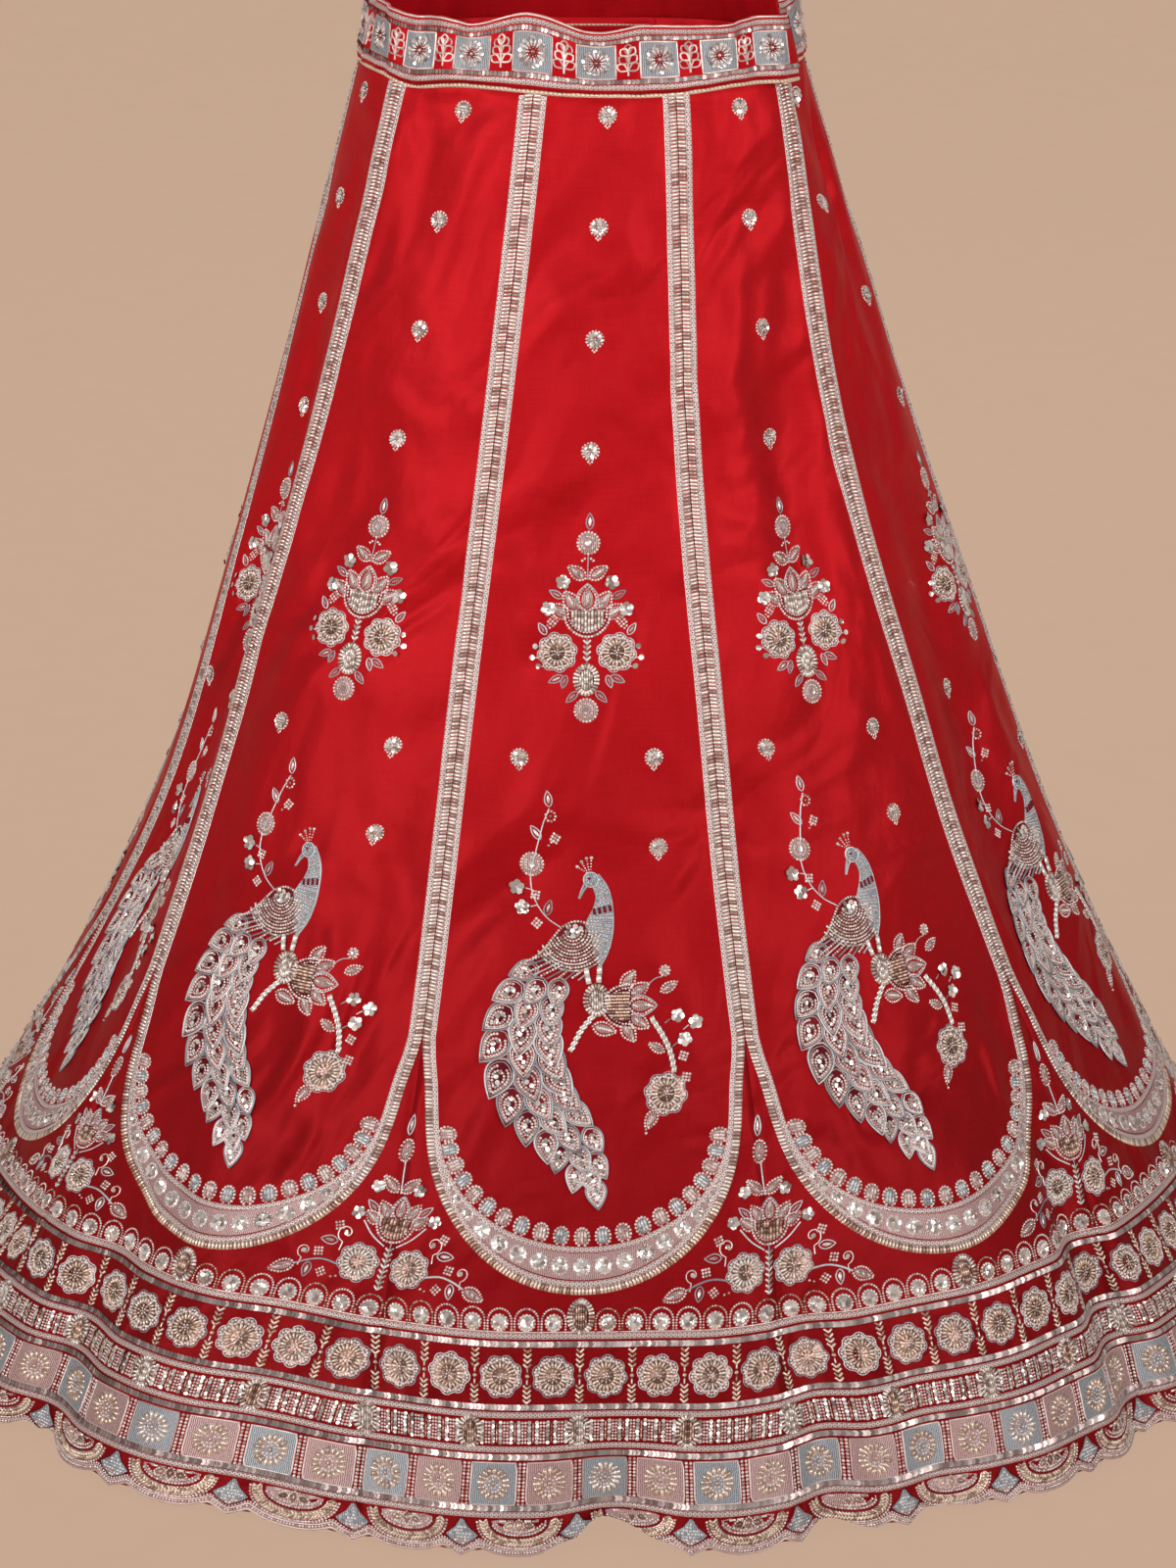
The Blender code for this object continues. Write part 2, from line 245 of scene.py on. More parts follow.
# Creases in the silk: angle and drop of each end, half width and depth in mm, and bow in mm. They are soft, most
# run down to the viewer's left across the grain, and they cross the seams as the cloth does.
CREASES = (
    (-34, 0.02, -56, 0.09, 12, 1.6, 5), (-37, 0.17, -52, 0.23, 11, 1.5, -5), (-16, 0.31, -28, 0.38, 12, 1.6, 6),
    (-50, 0.38, -58, 0.49, 13, 1.9, -8), (-38, 0.45, -41, 0.56, 14, 1.4, 6), (-44, 0.72, -41, 0.81, 12, 2.2, 5),
    (-30, 0.55, -39, 0.61, 10, 1.2, 4), (-24, 0.06, -33, 0.15, 13, 1.0, 6), (-20, 0.47, -27, 0.55, 13, 1.2, -5),
    (-46, 0.26, -54, 0.33, 10, 1.3, 5), (-31, 0.63, -24, 0.71, 12, 1.1, 7), (-52, 0.58, -49, 0.70, 14, 1.6, 7),
    (12, 0.01, 7, 0.06, 9, 1.7, 3), (7, 0.06, -12, 0.13, 12, 2.0, -6), (15, 0.10, -2, 0.16, 11, 2.1, 5),
    (24, 0.19, -6, 0.27, 14, 2.4, -8), (0, 0.27, -13, 0.345, 11, 2.0, 6), (3, 0.47, -10, 0.50, 10, 1.5, 4),
    (-16, 0.68, -2, 0.765, 12, 1.7, -7), (5, 0.72, 7, 0.765, 9, 1.4, 3), (13, 0.31, 5, 0.40, 12, 1.3, 6),
    (5, 0.40, -5, 0.44, 10, 1.1, -4), (-11, 0.53, -15, 0.58, 10, 1.3, 4), (14, 0.53, 10, 0.60, 11, 1.2, 5),
    (10, 0.64, 14, 0.71, 10, 1.1, -4), (-5, 0.02, -12, 0.09, 12, 1.0, 5), (8, 0.215, -2, 0.235, 9, 1.0, 2),
    (45, 0.10, 33, 0.30, 15, 2.6, 9), (37, 0.02, 25, 0.11, 12, 1.7, -6), (32, 0.21, 41, 0.35, 13, 2.2, -8),
    (50, 0.24, 34, 0.34, 12, 1.9, 6), (37, 0.45, 34, 0.57, 13, -1.6, 5), (28, 0.35, 22, 0.44, 12, 1.5, -5),
    (39, 0.55, 38, 0.64, 12, 1.6, 6), (47, 0.40, 40, 0.50, 12, 1.5, 6), (47, 0.62, 42, 0.70, 11, 1.3, -5),
    (26, 0.58, 31, 0.68, 12, 1.2, 6), (44, 0.015, 40, 0.075, 10, 1.5, 4), (52, 0.08, 46, 0.17, 10, 1.8, -5),
    (66, 0.35, 68, 0.54, 14, 2.4, 8), (78, 0.18, 71, 0.29, 12, 2.0, -6), (60, 0.01, 70, 0.09, 12, 2.4, 5),
    (62, 0.10, 72, 0.20, 12, 1.9, 6), (58, 0.20, 64, 0.33, 12, 1.7, -6), (76, 0.44, 82, 0.58, 13, 1.6, 7),
    (61, 0.50, 58, 0.62, 12, 1.5, 5), (70, 0.62, 66, 0.74, 13, 1.8, -7),
    (-62, 0.06, -72, 0.16, 12, 1.8, 5), (-66, 0.20, -62, 0.34, 13, 1.7, -6), (-74, 0.34, -68, 0.46, 12, 1.6, 6),
    (-64, 0.52, -72, 0.64, 13, 1.9, 7), (-80, 0.08, -88, 0.20, 12, 1.6, -5), (-70, 0.66, -64, 0.78, 12, 1.7, 6),
    (96, 0.03, 88, 0.12, 12, 1.7, 5), (108, 0.08, 98, 0.19, 13, 2.0, -7), (92, 0.24, 99, 0.37, 13, 1.8, 7),
    (112, 0.30, 101, 0.41, 14, 2.2, 8), (122, 0.06, 116, 0.16, 11, 1.5, 4), (104, 0.46, 95, 0.57, 13, 1.8, -7),
    (119, 0.45, 113, 0.58, 12, 1.6, 6), (98, 0.62, 106, 0.73, 13, 1.9, 6), (126, 0.24, 119, 0.35, 12, 1.6, -6),
    (138, 0.02, 128, 0.11, 12, 1.8, 6), (147, 0.12, 134, 0.22, 13, 2.1, -7), (133, 0.30, 142, 0.42, 13, 1.7, 7),
    (150, 0.34, 139, 0.45, 13, 2.0, 6), (131, 0.50, 124, 0.61, 12, 1.6, -6), (146, 0.54, 150, 0.66, 13, 1.7, 6),
    (128, 0.66, 136, 0.75, 12, 1.5, 6), (158, 0.05, 151, 0.14, 11, 1.5, 5), (162, 0.20, 154, 0.31, 13, 1.8, -6),
    (170, 0.02, 160, 0.10, 12, 1.7, 6), (184, 0.09, 171, 0.20, 14, 2.2, 8), (176, 0.26, 164, 0.36, 13, 1.9, -7),
    (190, 0.28, 181, 0.40, 12, 1.7, 6), (168, 0.42, 173, 0.55, 13, 1.8, 7), (186, 0.46, 176, 0.57, 13, 1.6, -6),
    (164, 0.62, 157, 0.72, 12, 1.6, 5), (181, 0.64, 188, 0.74, 12, 1.7, 6), (196, 0.06, 188, 0.15, 11, 1.5, -4),
    (207, 0.02, 198, 0.12, 12, 1.8, 6), (220, 0.12, 208, 0.22, 13, 2.0, -7), (203, 0.22, 196, 0.34, 12, 1.6, 6),
    (216, 0.31, 206, 0.43, 14, 2.1, 7), (199, 0.46, 207, 0.58, 13, 1.7, -6), (222, 0.48, 214, 0.60, 12, 1.6, 6),
    (205, 0.64, 198, 0.74, 12, 1.5, 6), (226, 0.05, 219, 0.14, 11, 1.4, 5), (228, 0.25, 221, 0.36, 12, 1.6, -5),
    (243, 0.03, 232, 0.12, 12, 1.8, 6), (254, 0.12, 243, 0.23, 13, 2.0, -7), (236, 0.18, 230, 0.30, 12, 1.5, 5),
    (247, 0.30, 238, 0.42, 13, 1.9, 7), (232, 0.44, 241, 0.55, 12, 1.6, -6), (256, 0.40, 249, 0.52, 12, 1.7, 6),
    (239, 0.60, 233, 0.71, 13, 1.6, 6), (254, 0.60, 260, 0.72, 12, 1.8, -6), (263, 0.22, 258, 0.33, 12, 1.6, 5),
)


def through(x, knots, values):
    """A smooth curve through the points of a short table, read at x."""
    knots, values = np.asarray(knots, float), np.asarray(values, float)
    slopes = np.gradient(values, knots)
    x = np.clip(x, knots[0], knots[-1])
    left = np.clip(np.searchsorted(knots, x, side="right") - 1, 0, len(knots) - 2)
    span = knots[left + 1] - knots[left]
    t = (x - knots[left]) / span
    return (
        values[left] * (1 + 2 * t) * (1 - t) ** 2
        + slopes[left] * span * t * (1 - t) ** 2
        + values[left + 1] * t * t * (3 - 2 * t)
        + slopes[left + 1] * span * t * t * (t - 1)
    )


def ease(t):
    t = np.clip(t, 0.0, 1.0)
    return t * t * (3 - 2 * t)


def bell(distance, half_width):
    return 0.5 + 0.5 * np.cos(np.pi * np.clip(np.abs(distance) / half_width, 0.0, 1.0))


def turned(angle):
    return (np.asarray(angle, float) + 180.0) % 360.0 - 180.0


def waves(turn, table):
    return sum(size * np.sin(count * turn + phase) for count, size, phase in table)


def fold_offset(angle, drop):
    offset = np.zeros(np.broadcast(angle, drop).shape)
    for at_waist, at_hem, half_width, depth, starts, fullest, ends in FOLDS:
        middle = at_waist + (at_hem - at_waist) * drop / SKIRT_DROP
        grows = ease((drop - starts) / (fullest - starts))
        fades = ease((ends - drop) / (ends - fullest))
        offset += depth * grows * fades * bell(turned(angle - middle), half_width)
    return offset


def crease_offset(angle, drop):
    """Troughs in the silk, each with a softer ridge beside it."""
    offset = np.zeros(np.broadcast(angle, drop).shape)
    for angle_0, drop_0, angle_1, drop_1, width, depth, bow in CREASES:
        radius = through((drop_0 + drop_1) / 2, SECTION_DROP, SECTION_HALF_DEPTH) * 1.03
        to_x = math.radians(1) * radius * 1000
        end = np.array([turned(angle_1 - angle_0) * to_x, (drop_1 - drop_0) * CLOTH_MM])
        length = np.hypot(*end)
        along = end / length
        x, y = turned(angle - angle_0) * to_x, (drop - drop_0) * CLOTH_MM
        reach = length / 2 + CREASE_REACH
        near = (np.abs(x - end[0] / 2) < reach) & (np.abs(y - end[1] / 2) < reach)
        if not near.any():
            continue
        x, y = x[near], y[near]
        t = (x * along[0] + y * along[1]) / length
        side = (x * along[1] - y * along[0] - bow * 4 * t * (1 - t)) / (width * (0.75 + 0.5 * t))
        fades = ease((t + 0.22) / 0.5) * ease((1.25 - t) / 0.6)
        trough = -np.exp(-(side**2)) + 0.42 * np.exp(-((side + 1.8) ** 2)) + 0.22 * np.exp(-((side - 2.0) ** 2))
        offset[near] += depth * 0.001 * fades * trough
    return offset


def skirt_point(angle, drop, out=0.0):
    """A point of the cloth's outer face, or one moved out from it in plan."""
    half_width = through(drop, SECTION_DROP, SECTION_HALF_WIDTH)
    half_depth = through(drop, SECTION_DROP, SECTION_HALF_DEPTH)
    turn = np.radians(angle)
    away = np.stack([half_depth * np.sin(turn), -half_width * np.cos(turn)], axis=-1)
    away /= np.linalg.norm(away, axis=-1, keepdims=True)
    plan = np.stack([half_width * np.sin(turn), -half_depth * np.cos(turn)], axis=-1)
    plan = plan + away * (fold_offset(angle, drop) + out)[..., None]
    height = -BAND_HEIGHT / 2 - drop + 0 * turn
    return np.concatenate([plan, height[..., None]], axis=-1)


def seam_angle(index, drop):
    """The angle of the seam after panel number index, at each drop."""
    even = (index + 0.5) * 360.0 / PANELS
    whole_turns = 360.0 * round(even / 360.0 - 1e-9)
    listed = SEAM_ANGLES.get(int(round(even - whole_turns)))
    if listed is None:
        return even + 0 * drop
    return through(drop, SEAM_DROP, listed) + whole_turns


def panel_angle(panel, drop, share):
    """The angle at a share of the way across a panel."""
    left, right = seam_angle(panel - 1, drop), seam_angle(panel, drop)
    return left + (right - left) * share


def band_edge(angle, is_front):
    return through(angle, *((FRONT_EDGE_ANGLE, FRONT_EDGE_RISE) if is_front else (BACK_EDGE_ANGLE, BACK_EDGE_RISE)))


def panel_top(angle):
    """The drop of the panels' upper edge, under the piping."""
    angle = (np.asarray(angle, float) - JOIN_ANGLE) % 360.0 + JOIN_ANGLE
    rise = np.where(angle < OPENING_ANGLE, band_edge(angle, True), band_edge(angle, False))
    return 2 * PIPING_RADIUS + 2 * SEAM_GAP - rise


def hem_rise(angle):
    rise = 0 * angle
    for middle, half_width, lift in HEM_LIFTS:
        rise = rise + lift * bell(turned(angle - middle), half_width)
    return rise


def band_surface(angle, height, is_front):
    """Outer face of the band at a height above its lower edge."""
    share = height / BAND_HEIGHT
    turn = np.radians(angle)
    out = BAND_PROUD - BAND_LEAN * share + waves(turn, BAND_PUCKERS) * share
    if is_front:
        first, last = LAP_SWELL_ANGLES
        out = out + LAP_OUT * ease((angle - first) / (last - first))
    point = skirt_point(angle, 0 * angle, out)
    top_wave = through(angle, FRONT_TOP_ANGLE, FRONT_TOP_RISE) if is_front else waves(turn, BACK_TOP_WAVES)
    point[..., 2] += band_edge(angle, is_front) + height + top_wave * share
    return point


def scallop_rise(share):
    """How far the hem's edge stands above the lobes' tips: four wide lobes a panel, a small fan lobe between."""
    t = (np.asarray(share) * SCALLOPS) % 1.0
    fan = np.minimum(t, 1 - t)
    in_fan, in_lobe = (fan / FAN_SHARE) ** 1.3, (np.abs(t - 0.5) / (0.5 - FAN_SHARE)) ** 2.4
    return VALLEY_RISE * np.where(fan < FAN_SHARE, in_fan, in_lobe)


# Length along the cloth from the band's lower edge, for each drop.
_drops = np.linspace(0.0, 0.96, 961)
_radius = (
    through(_drops, SECTION_DROP, SECTION_HALF_WIDTH) + through(_drops, SECTION_DROP, SECTION_HALF_DEPTH)
) / 2
_lengths = np.concatenate([[0], np.cumsum(np.hypot(np.diff(_drops), np.diff(_radius)))])
_drops = np.concatenate([[-0.05], _drops])
_lengths = np.concatenate([[-0.0515], _lengths])


def length_at(drop):
    return np.interp(drop, _drops, _lengths)


def drop_at(length):
    return np.interp(length, _lengths, _drops)


def panel_width_table():
    drops = np.linspace(-0.01, SKIRT_DROP, 97)
    table = []
    for panel in range(PANELS):
        angles = panel_angle(panel, drops[:, None], np.linspace(0, 1, 33))
        points = skirt_point(angles, np.broadcast_to(drops[:, None], angles.shape))
        table.append(np.linalg.norm(np.diff(points, axis=1), axis=2).sum(axis=1))
    return drops, np.array(table)


WIDTH_DROPS, PANEL_WIDTHS = panel_width_table()


def width_of(panel, drop):
    """Each panel's own width at a drop. panel may be an array."""
    panel = np.broadcast_to(np.asarray(panel) % PANELS, np.shape(drop))
    step = WIDTH_DROPS[1] - WIDTH_DROPS[0]
    at = np.clip((np.asarray(drop) - WIDTH_DROPS[0]) / step, 0, len(WIDTH_DROPS) - 1.001)
    low = at.astype(int)
    return PANEL_WIDTHS[panel, low] * (1 - at + low) + PANEL_WIDTHS[panel, low + 1] * (at - low)


def panel_cloth(panel):
    """The outer face of a panel's cloth: points, and the drops of its upper edge and its hem at each column."""
    share = np.linspace(0, 1, COLUMNS)
    top, hem = np.zeros(COLUMNS), np.full(COLUMNS, SKIRT_DROP)
    for _ in range(3):  # both edges shift along the slanting seams as they are found
        top_angles, hem_angles = panel_angle(panel, top, share), panel_angle(panel, hem, share)
        top = panel_top(top_angles) - TUCK
        hem = SKIRT_DROP - scallop_rise(share) - hem_rise(hem_angles)
    drops = top + (hem - top) * np.linspace(0, 1, ROWS)[:, None]
    angles = panel_angle(panel, drops, share)
    from_seam = np.minimum(share, 1 - share) * width_of(panel, drops)
    out = crease_offset(angles, drops) - 0.0008 * np.exp(-((from_seam / 0.0018) ** 2))
    out -= 0.0014 * (1 - ease((drops - top) / (TUCK + 0.006)))
    return skirt_point(angles, drops, out), top, hem


def normals_of(grid):
    across, down = np.gradient(grid, axis=1), np.gradient(grid, axis=0)
    normal = np.cross(down, across)
    return normal / np.linalg.norm(normal, axis=-1, keepdims=True)


CLOTH = [panel_cloth(panel) for panel in range(PANELS)]
GRID = np.array([cloth[0] for cloth in CLOTH])
NORMAL = np.array([normals_of(grid) for grid in GRID])
for panel in range(PANELS):  # one direction for both sides of a seam
    after = (panel + 1) % PANELS
    shared = NORMAL[panel][:, -1] + NORMAL[after][:, 0]
    shared /= np.linalg.norm(shared, axis=-1, keepdims=True)
    NORMAL[panel][:, -1] = NORMAL[after][:, 0] = shared
TOP = np.array([cloth[1] for cloth in CLOTH])
HEM = np.array([cloth[2] for cloth in CLOTH])

# ---------------------------------------------------------------- meshes and materials


def make_mesh(name, points, faces, materials, smooth=True, slots=None, uv=None, tone=None):
    """faces is a list of arrays, each of faces with as many corners. uv and tone are per point."""
    mesh = bpy.data.meshes.new(name)
    mesh.vertices.add(len(points))
    mesh.vertices.foreach_set("co", np.ascontiguousarray(points, np.float32).ravel())
    corners = np.concatenate([f.ravel() for f in faces]).astype(np.int32)
    sizes = np.concatenate([np.full(len(f), f.shape[1]) for f in faces])
    mesh.loops.add(len(corners))
    mesh.loops.foreach_set("vertex_index", corners)
    mesh.polygons.add(len(sizes))
    mesh.polygons.foreach_set("loop_start", np.concatenate([[0], np.cumsum(sizes)[:-1]]).astype(np.int32))
    for material in materials:
        mesh.materials.append(material)
    if slots is not None:
        mesh.polygons.foreach_set("material_index", np.ascontiguousarray(slots, np.int32))
    if uv is not None:
        layer = mesh.uv_layers.new(name="flat")
        layer.data.foreach_set("uv", np.ascontiguousarray(uv[corners], np.float32).ravel())
    if tone is not None:
        attribute = mesh.attributes.new("tone", "FLOAT", "POINT")
        attribute.data.foreach_set("value", np.ascontiguousarray(tone, np.float32))
    mesh.update(calc_edges=True)
    if smooth:
        mesh.shade_smooth()
    piece = bpy.data.objects.new(name, mesh)
    bpy.context.scene.collection.objects.link(piece)
    return piece


class Look:
    """A node material, written as a few calls. An input is a number, a colour or another node's output."""

    def __init__(self, name, **settings):
        self.material = bpy.data.materials.new(name)
        self.material.use_nodes = True
        self.tree = self.material.node_tree
        self.shader = self.tree.nodes["Principled BSDF"]
        self.fill(self.shader, settings)

    def fill(self, node, inputs):
        for key, value in inputs.items():
            socket = node.inputs[key if isinstance(key, int) else key.replace("_", " ")]
            if isinstance(value, bpy.types.NodeSocket):
                self.tree.links.new(value, socket)
            elif isinstance(value, tuple) and socket.type == "RGBA":
                socket.default_value = (*value, 1.0)
            else:
                socket.default_value = value

    def node(self, kind, out=0, props=None, numbered=None, **named):
        node = self.tree.nodes.new("ShaderNode" + kind)
        for key, value in (props or {}).items():
            setattr(node, key, value)
        self.fill(node, {**(numbered or {}), **named})
        return node.outputs[out]

    def math(self, operation, a, b=0.0, c=0.0):
        return self.node("Math", 0, {"operation": operation}, {0: a, 1: b, 2: c})

    def sum(self, a, share_of_a, b, share_of_b):
        return self.math("MULTIPLY_ADD", a, share_of_a, self.math("MULTIPLY", b, share_of_b))

    def mix(self, factor, a, b, blend="MIX"):
        return self.node("Mix", 2, {"data_type": "RGBA", "blend_type": blend}, {0: factor, 6: a, 7: b})

    def ramp(self, factor, *stops):
        node = self.tree.nodes.new("ShaderNodeValToRGB")
        self.tree.links.new(factor, node.inputs[0])
        elements = node.color_ramp.elements
        elements[0].position, elements[1].position = stops[0][0], stops[-1][0]
        for at, _ in stops[1:-1]:
            elements.new(at)
        for element, (_, colour) in zip(elements, stops):
            element.color = (*colour, 1.0) if isinstance(colour, tuple) else (colour, colour, colour, 1.0)
        return node.outputs[0]

    def tone(self):
        return self.node("Attribute", 2, {"attribute_name": "tone", "attribute_type": "GEOMETRY"})

    def uv(self, *scale):
        return self.node("Mapping", Vector=self.node("UVMap", props={"uv_map": "flat"}), Scale=scale)

    def along_and_across(self):
        """The two parts of the uv, in metres unless a piece says otherwise."""
        node = self.tree.nodes.new("ShaderNodeSeparateXYZ")
        self.tree.links.new(self.uv(1.0, 1.0, 1.0), node.inputs[0])
        return node.outputs[0], node.outputs[1]

    def turned(self, vector, degrees, scale):
        """The vector turned about Y, which points into the cloth in front, and then scaled."""
        return self.node("Mapping", props={"vector_type": "TEXTURE"}, Vector=vector,
                         Rotation=(0.0, math.radians(degrees), 0.0), Scale=tuple(1 / value for value in scale))

    def noise(self, vector, scale, detail=2.0, roughness=0.5, props=None, **more):
        return self.node("TexNoise", props=props, Vector=vector, Scale=scale, Detail=detail, Roughness=roughness,
                         **more)

    def bump(self, height, strength, distance, **normal):
        return self.node("Bump", Height=height, Strength=strength, Distance=distance, **normal)

    def use(self, **inputs):
        self.fill(self.shader, inputs)
        return self.material


def silk_material():
    """Red raw silk: a close cross weave with uneven weft threads, soft rumples, fine creases and a red lustre, its
    colour darkened towards the hem by painted shade.
    """
    look = Look("red_silk", Metallic=0.27, Specular_IOR_Level=0.2, Specular_Tint=(1.0, 0.3, 0.3), Sheen_Weight=0.05,
                Sheen_Roughness=0.45, Sheen_Tint=(1.0, 0.15, 0.15))
    slub = look.noise(look.uv(38.0, 1150.0, 1.0), 1.0, 2.0, 0.6)
    warp = look.noise(look.uv(1500.0, 60.0, 1.0), 1.0, 1.0, 0.5)
    thread = look.sum(slub, 0.6, warp, 0.4)
    place = look.node("TexCoord", out=3)
    cloud = look.noise(place, 7.0, 3.0, 0.55)
    soft = look.noise(look.turned(place, 35.0, (1.0, 1.0, 0.55)), 11.0, 2.0, 0.45, Distortion=0.7)
    fold = look.noise(look.turned(place, -38.0, (1.0, 1.0, 0.5)), 9.0, 2.5, 0.5, Distortion=0.5,
                      props={"noise_type": "RIDGED_MULTIFRACTAL", "normalize": True})
    fine = look.noise(look.turned(place, 20.0, (1.0, 1.0, 0.7)), 46.0, 3.0, 0.5)
    colour = look.ramp(thread, (0.30, (0.430, 0.0046, 0.0082)), (0.72, (0.580, 0.0086, 0.0150)))
    colour = look.mix(look.ramp(cloud, (0.35, 0.0), (0.75, 0.30)), colour, (0.400, 0.0040, 0.0078))
    _, length = look.along_and_across()
    # painted shade: the colour is multiplied darker down the cloth's length, from 0.91 near the top to 0.41 at the hem,
    # in place of light that falls off lower down
    painted_shade_towards_hem = look.ramp(length, (0.06, 0.91), (0.30, 0.90), (0.62, 0.69), (0.84, 0.49), (0.90, 0.41))
    colour = look.mix(1.0, colour, painted_shade_towards_hem, "MULTIPLY")
    rough = look.math("MULTIPLY_ADD", thread, 0.14, 0.42)
    normal = look.bump(soft, 1.0, 0.026)
    for height, strength, distance in ((fold, 1.0, 0.0155), (fine, 1.0, 0.0017), (thread, 0.16, 0.0003)):
        normal = look.bump(height, strength, distance, Normal=normal)
    return look.use(Base_Color=colour, Roughness=rough, Normal=normal)


def metal_thread(name, dark, light, roughness, metallic, **more):
    """Wound or plaited thread: colour by the piece's own tone, with a fine twist."""
    look = Look(name, Metallic=metallic, **more)
    twist = look.noise(look.uv(900.0, 900.0, 1.0), 1.0, 2.0, 0.6)
    colour = look.ramp(look.sum(look.tone(), 0.6, twist, 0.4), (0.22, dark), (0.78, light))
    rough = look.math("MULTIPLY_ADD", twist, 0.2, roughness - 0.1)
    return look.use(Base_Color=colour, Roughness=rough, Normal=look.bump(twist, 0.5, 0.0003))


def bead_look(name, dark, light, roughness, metallic, **more):
    """Beads, bugles and sequins, each in its own tone, which on stamped beads and bugles also carries painted shade at
    the foot and a painted highlight at the top.
    """
    look = Look(name, Metallic=metallic, **more)
    colour = look.ramp(look.tone(), (0.0, dark), (1.0, light))
    rough = look.math("MULTIPLY_ADD", look.tone(), 0.14, roughness - 0.07)
    return look.use(Base_Color=colour, Roughness=rough)


def chain_material():
    """Plaited lace: a row of small rings between two edge cords, over the red cloth that shows through, painted dark as
    shade.

    Its uv runs along it, one for each ring, and across it from 0 to 1.
    """
    look = Look("chain_lace", Metallic=0.35, Specular_IOR_Level=0.5)
    along, across = look.along_and_across()
    along = look.math("SUBTRACT", look.math("FRACT", along), 0.5)
    across = look.math("SUBTRACT", across, 0.5)
    far = [look.math("POWER", look.math("ABSOLUTE", look.math("MULTIPLY", part, size)), 2.0)
           for part, size in ((along, 2.05), (across, 2.5))]
    hole = look.math("SMOOTH_MIN", look.math("SQRT", look.math("ADD", *far)), 1.0, 0.1)
    thread = look.ramp(hole, (0.20, 0.0), (0.36, 1.0), (0.90, 1.0), (0.99, 0.25))
    edge = look.ramp(look.math("ABSOLUTE", across), (0.36, 0.0), (0.42, 1.0))
    cover = look.math("MAXIMUM", thread, edge)
    grain = look.noise(look.uv(9.0, 5.0, 1.0), 1.0, 2.0, 0.6)
    light = look.ramp(look.sum(grain, 0.7, look.tone(), 0.3), (0.25, (0.52, 0.38, 0.37)), (0.75, (0.98, 0.84, 0.81)))
    # painted shade: the cloth seen through the lace is painted near-black red wherever no thread covers it
    colour = look.mix(cover, (0.085, 0.006, 0.010), light)
    height = look.math("MULTIPLY_ADD", grain, 0.35, cover)
    rough = look.math("MULTIPLY_ADD", cover, -0.22, 0.62)
    return look.use(Base_Color=colour, Roughness=rough, Normal=look.bump(height, 0.8, 0.0006))


def net_material(name, dark, light):
    """Zigzag threads drawn close together across a strip, with dark gaps between them."""
    look = Look(name, Metallic=0.25, Specular_IOR_Level=0.5)
    along, across = look.along_and_across()
    zigzag = look.math("PINGPONG", look.math("MULTIPLY", across, 120.0), 0.3)
    thread = look.math("FRACT", look.math("MULTIPLY_ADD", along, 760.0, zigzag))
    line = look.math("ABSOLUTE", look.math("SUBTRACT", thread, 0.5))
    shade = look.sum(line, 1.1, look.noise(look.uv(1.0, 1.0, 1.0), 700.0, 2.0, 0.6), 0.5)
    colour = look.ramp(shade, (0.15, light), (0.62, dark), (0.95, (0.085, 0.008, 0.012)))
    return look.use(Base_Color=colour, Roughness=0.5, Normal=look.bump(shade, -0.8, 0.0006))


def cord_material():
    """Cream cord, its two strands twisted together."""
    look = Look("cream_cord", Metallic=0.25, Sheen_Weight=0.2, Sheen_Roughness=0.4)
    along, around_it = look.along_and_across()
    twist = look.math("FRACT", look.math("MULTIPLY_ADD", along, 310.0, around_it))
    strand = look.math("SINE", look.math("MULTIPLY", twist, math.pi))
    shade = look.sum(strand, 0.7, look.noise(look.uv(900.0, 6.0, 1.0), 1.0), 0.3)
    colour = look.ramp(shade, (0.15, (0.42, 0.24, 0.16)), (0.75, (0.86, 0.68, 0.52)))
    return look.use(Base_Color=colour, Roughness=0.5, Normal=look.bump(shade, 0.9, 0.0006))


SILK = silk_material()
BUGLE, PEARL, SEQUIN, CORD, GREY, CHAIN, PINK_NET, GREY_NET, MAROON, COPPER, ICE, GOLD, MAUVE = range(13)
TRIM = [
    bead_look("gold_bugles", (0.26, 0.155, 0.125), (1.0, 0.93, 0.87), 0.22, 0.42),
    bead_look("pearl_beads", (0.40, 0.215, 0.195), (1.0, 0.93, 0.89), 0.22, 0.20, Coat_Weight=0.6, Coat_Roughness=0.10),
    bead_look("mirror_sequins", (0.34, 0.25, 0.22), (1.0, 0.96, 0.93), 0.18, 0.50),
    metal_thread("champagne_cord", (0.44, 0.31, 0.29), (0.95, 0.80, 0.76), 0.36, 0.45),
    metal_thread("blue_grey_cord", (0.22, 0.25, 0.29), (0.66, 0.70, 0.73), 0.36, 0.40),
    chain_material(),
    net_material("pink_net", (0.28, 0.14, 0.14), (0.75, 0.57, 0.55)),
    net_material("blue_grey_net", (0.17, 0.19, 0.22), (0.58, 0.62, 0.66)),
    metal_thread("maroon_thread_and_painted_shade", (0.10, 0.003, 0.008), (0.24, 0.010, 0.018), 0.6, 0.0, Specular_IOR_Level=0.1),
    bead_look("rose_bugles_and_painted_shade", (0.11, 0.045, 0.032), (0.92, 0.66, 0.53), 0.22, 0.55),
    bead_look("ice_beads", (0.20, 0.20, 0.22), (0.93, 0.94, 0.96), 0.25, 0.30, Coat_Weight=0.5, Coat_Roughness=0.12),
    bead_look("antique_bugles", (0.26, 0.13, 0.085), (1.0, 0.84, 0.71), 0.23, 0.50),
    bead_look("mauve_sequins", (0.15, 0.085, 0.080), (0.92, 0.80, 0.76), 0.26, 0.45),
]


def grid_faces(numbers):
    """The quads of a grid of point numbers."""
    corners = numbers[:-1, :-1], numbers[1:, :-1], numbers[1:, 1:], numbers[:-1, 1:]
    return np.stack(corners, axis=-1).reshape(-1, 4)


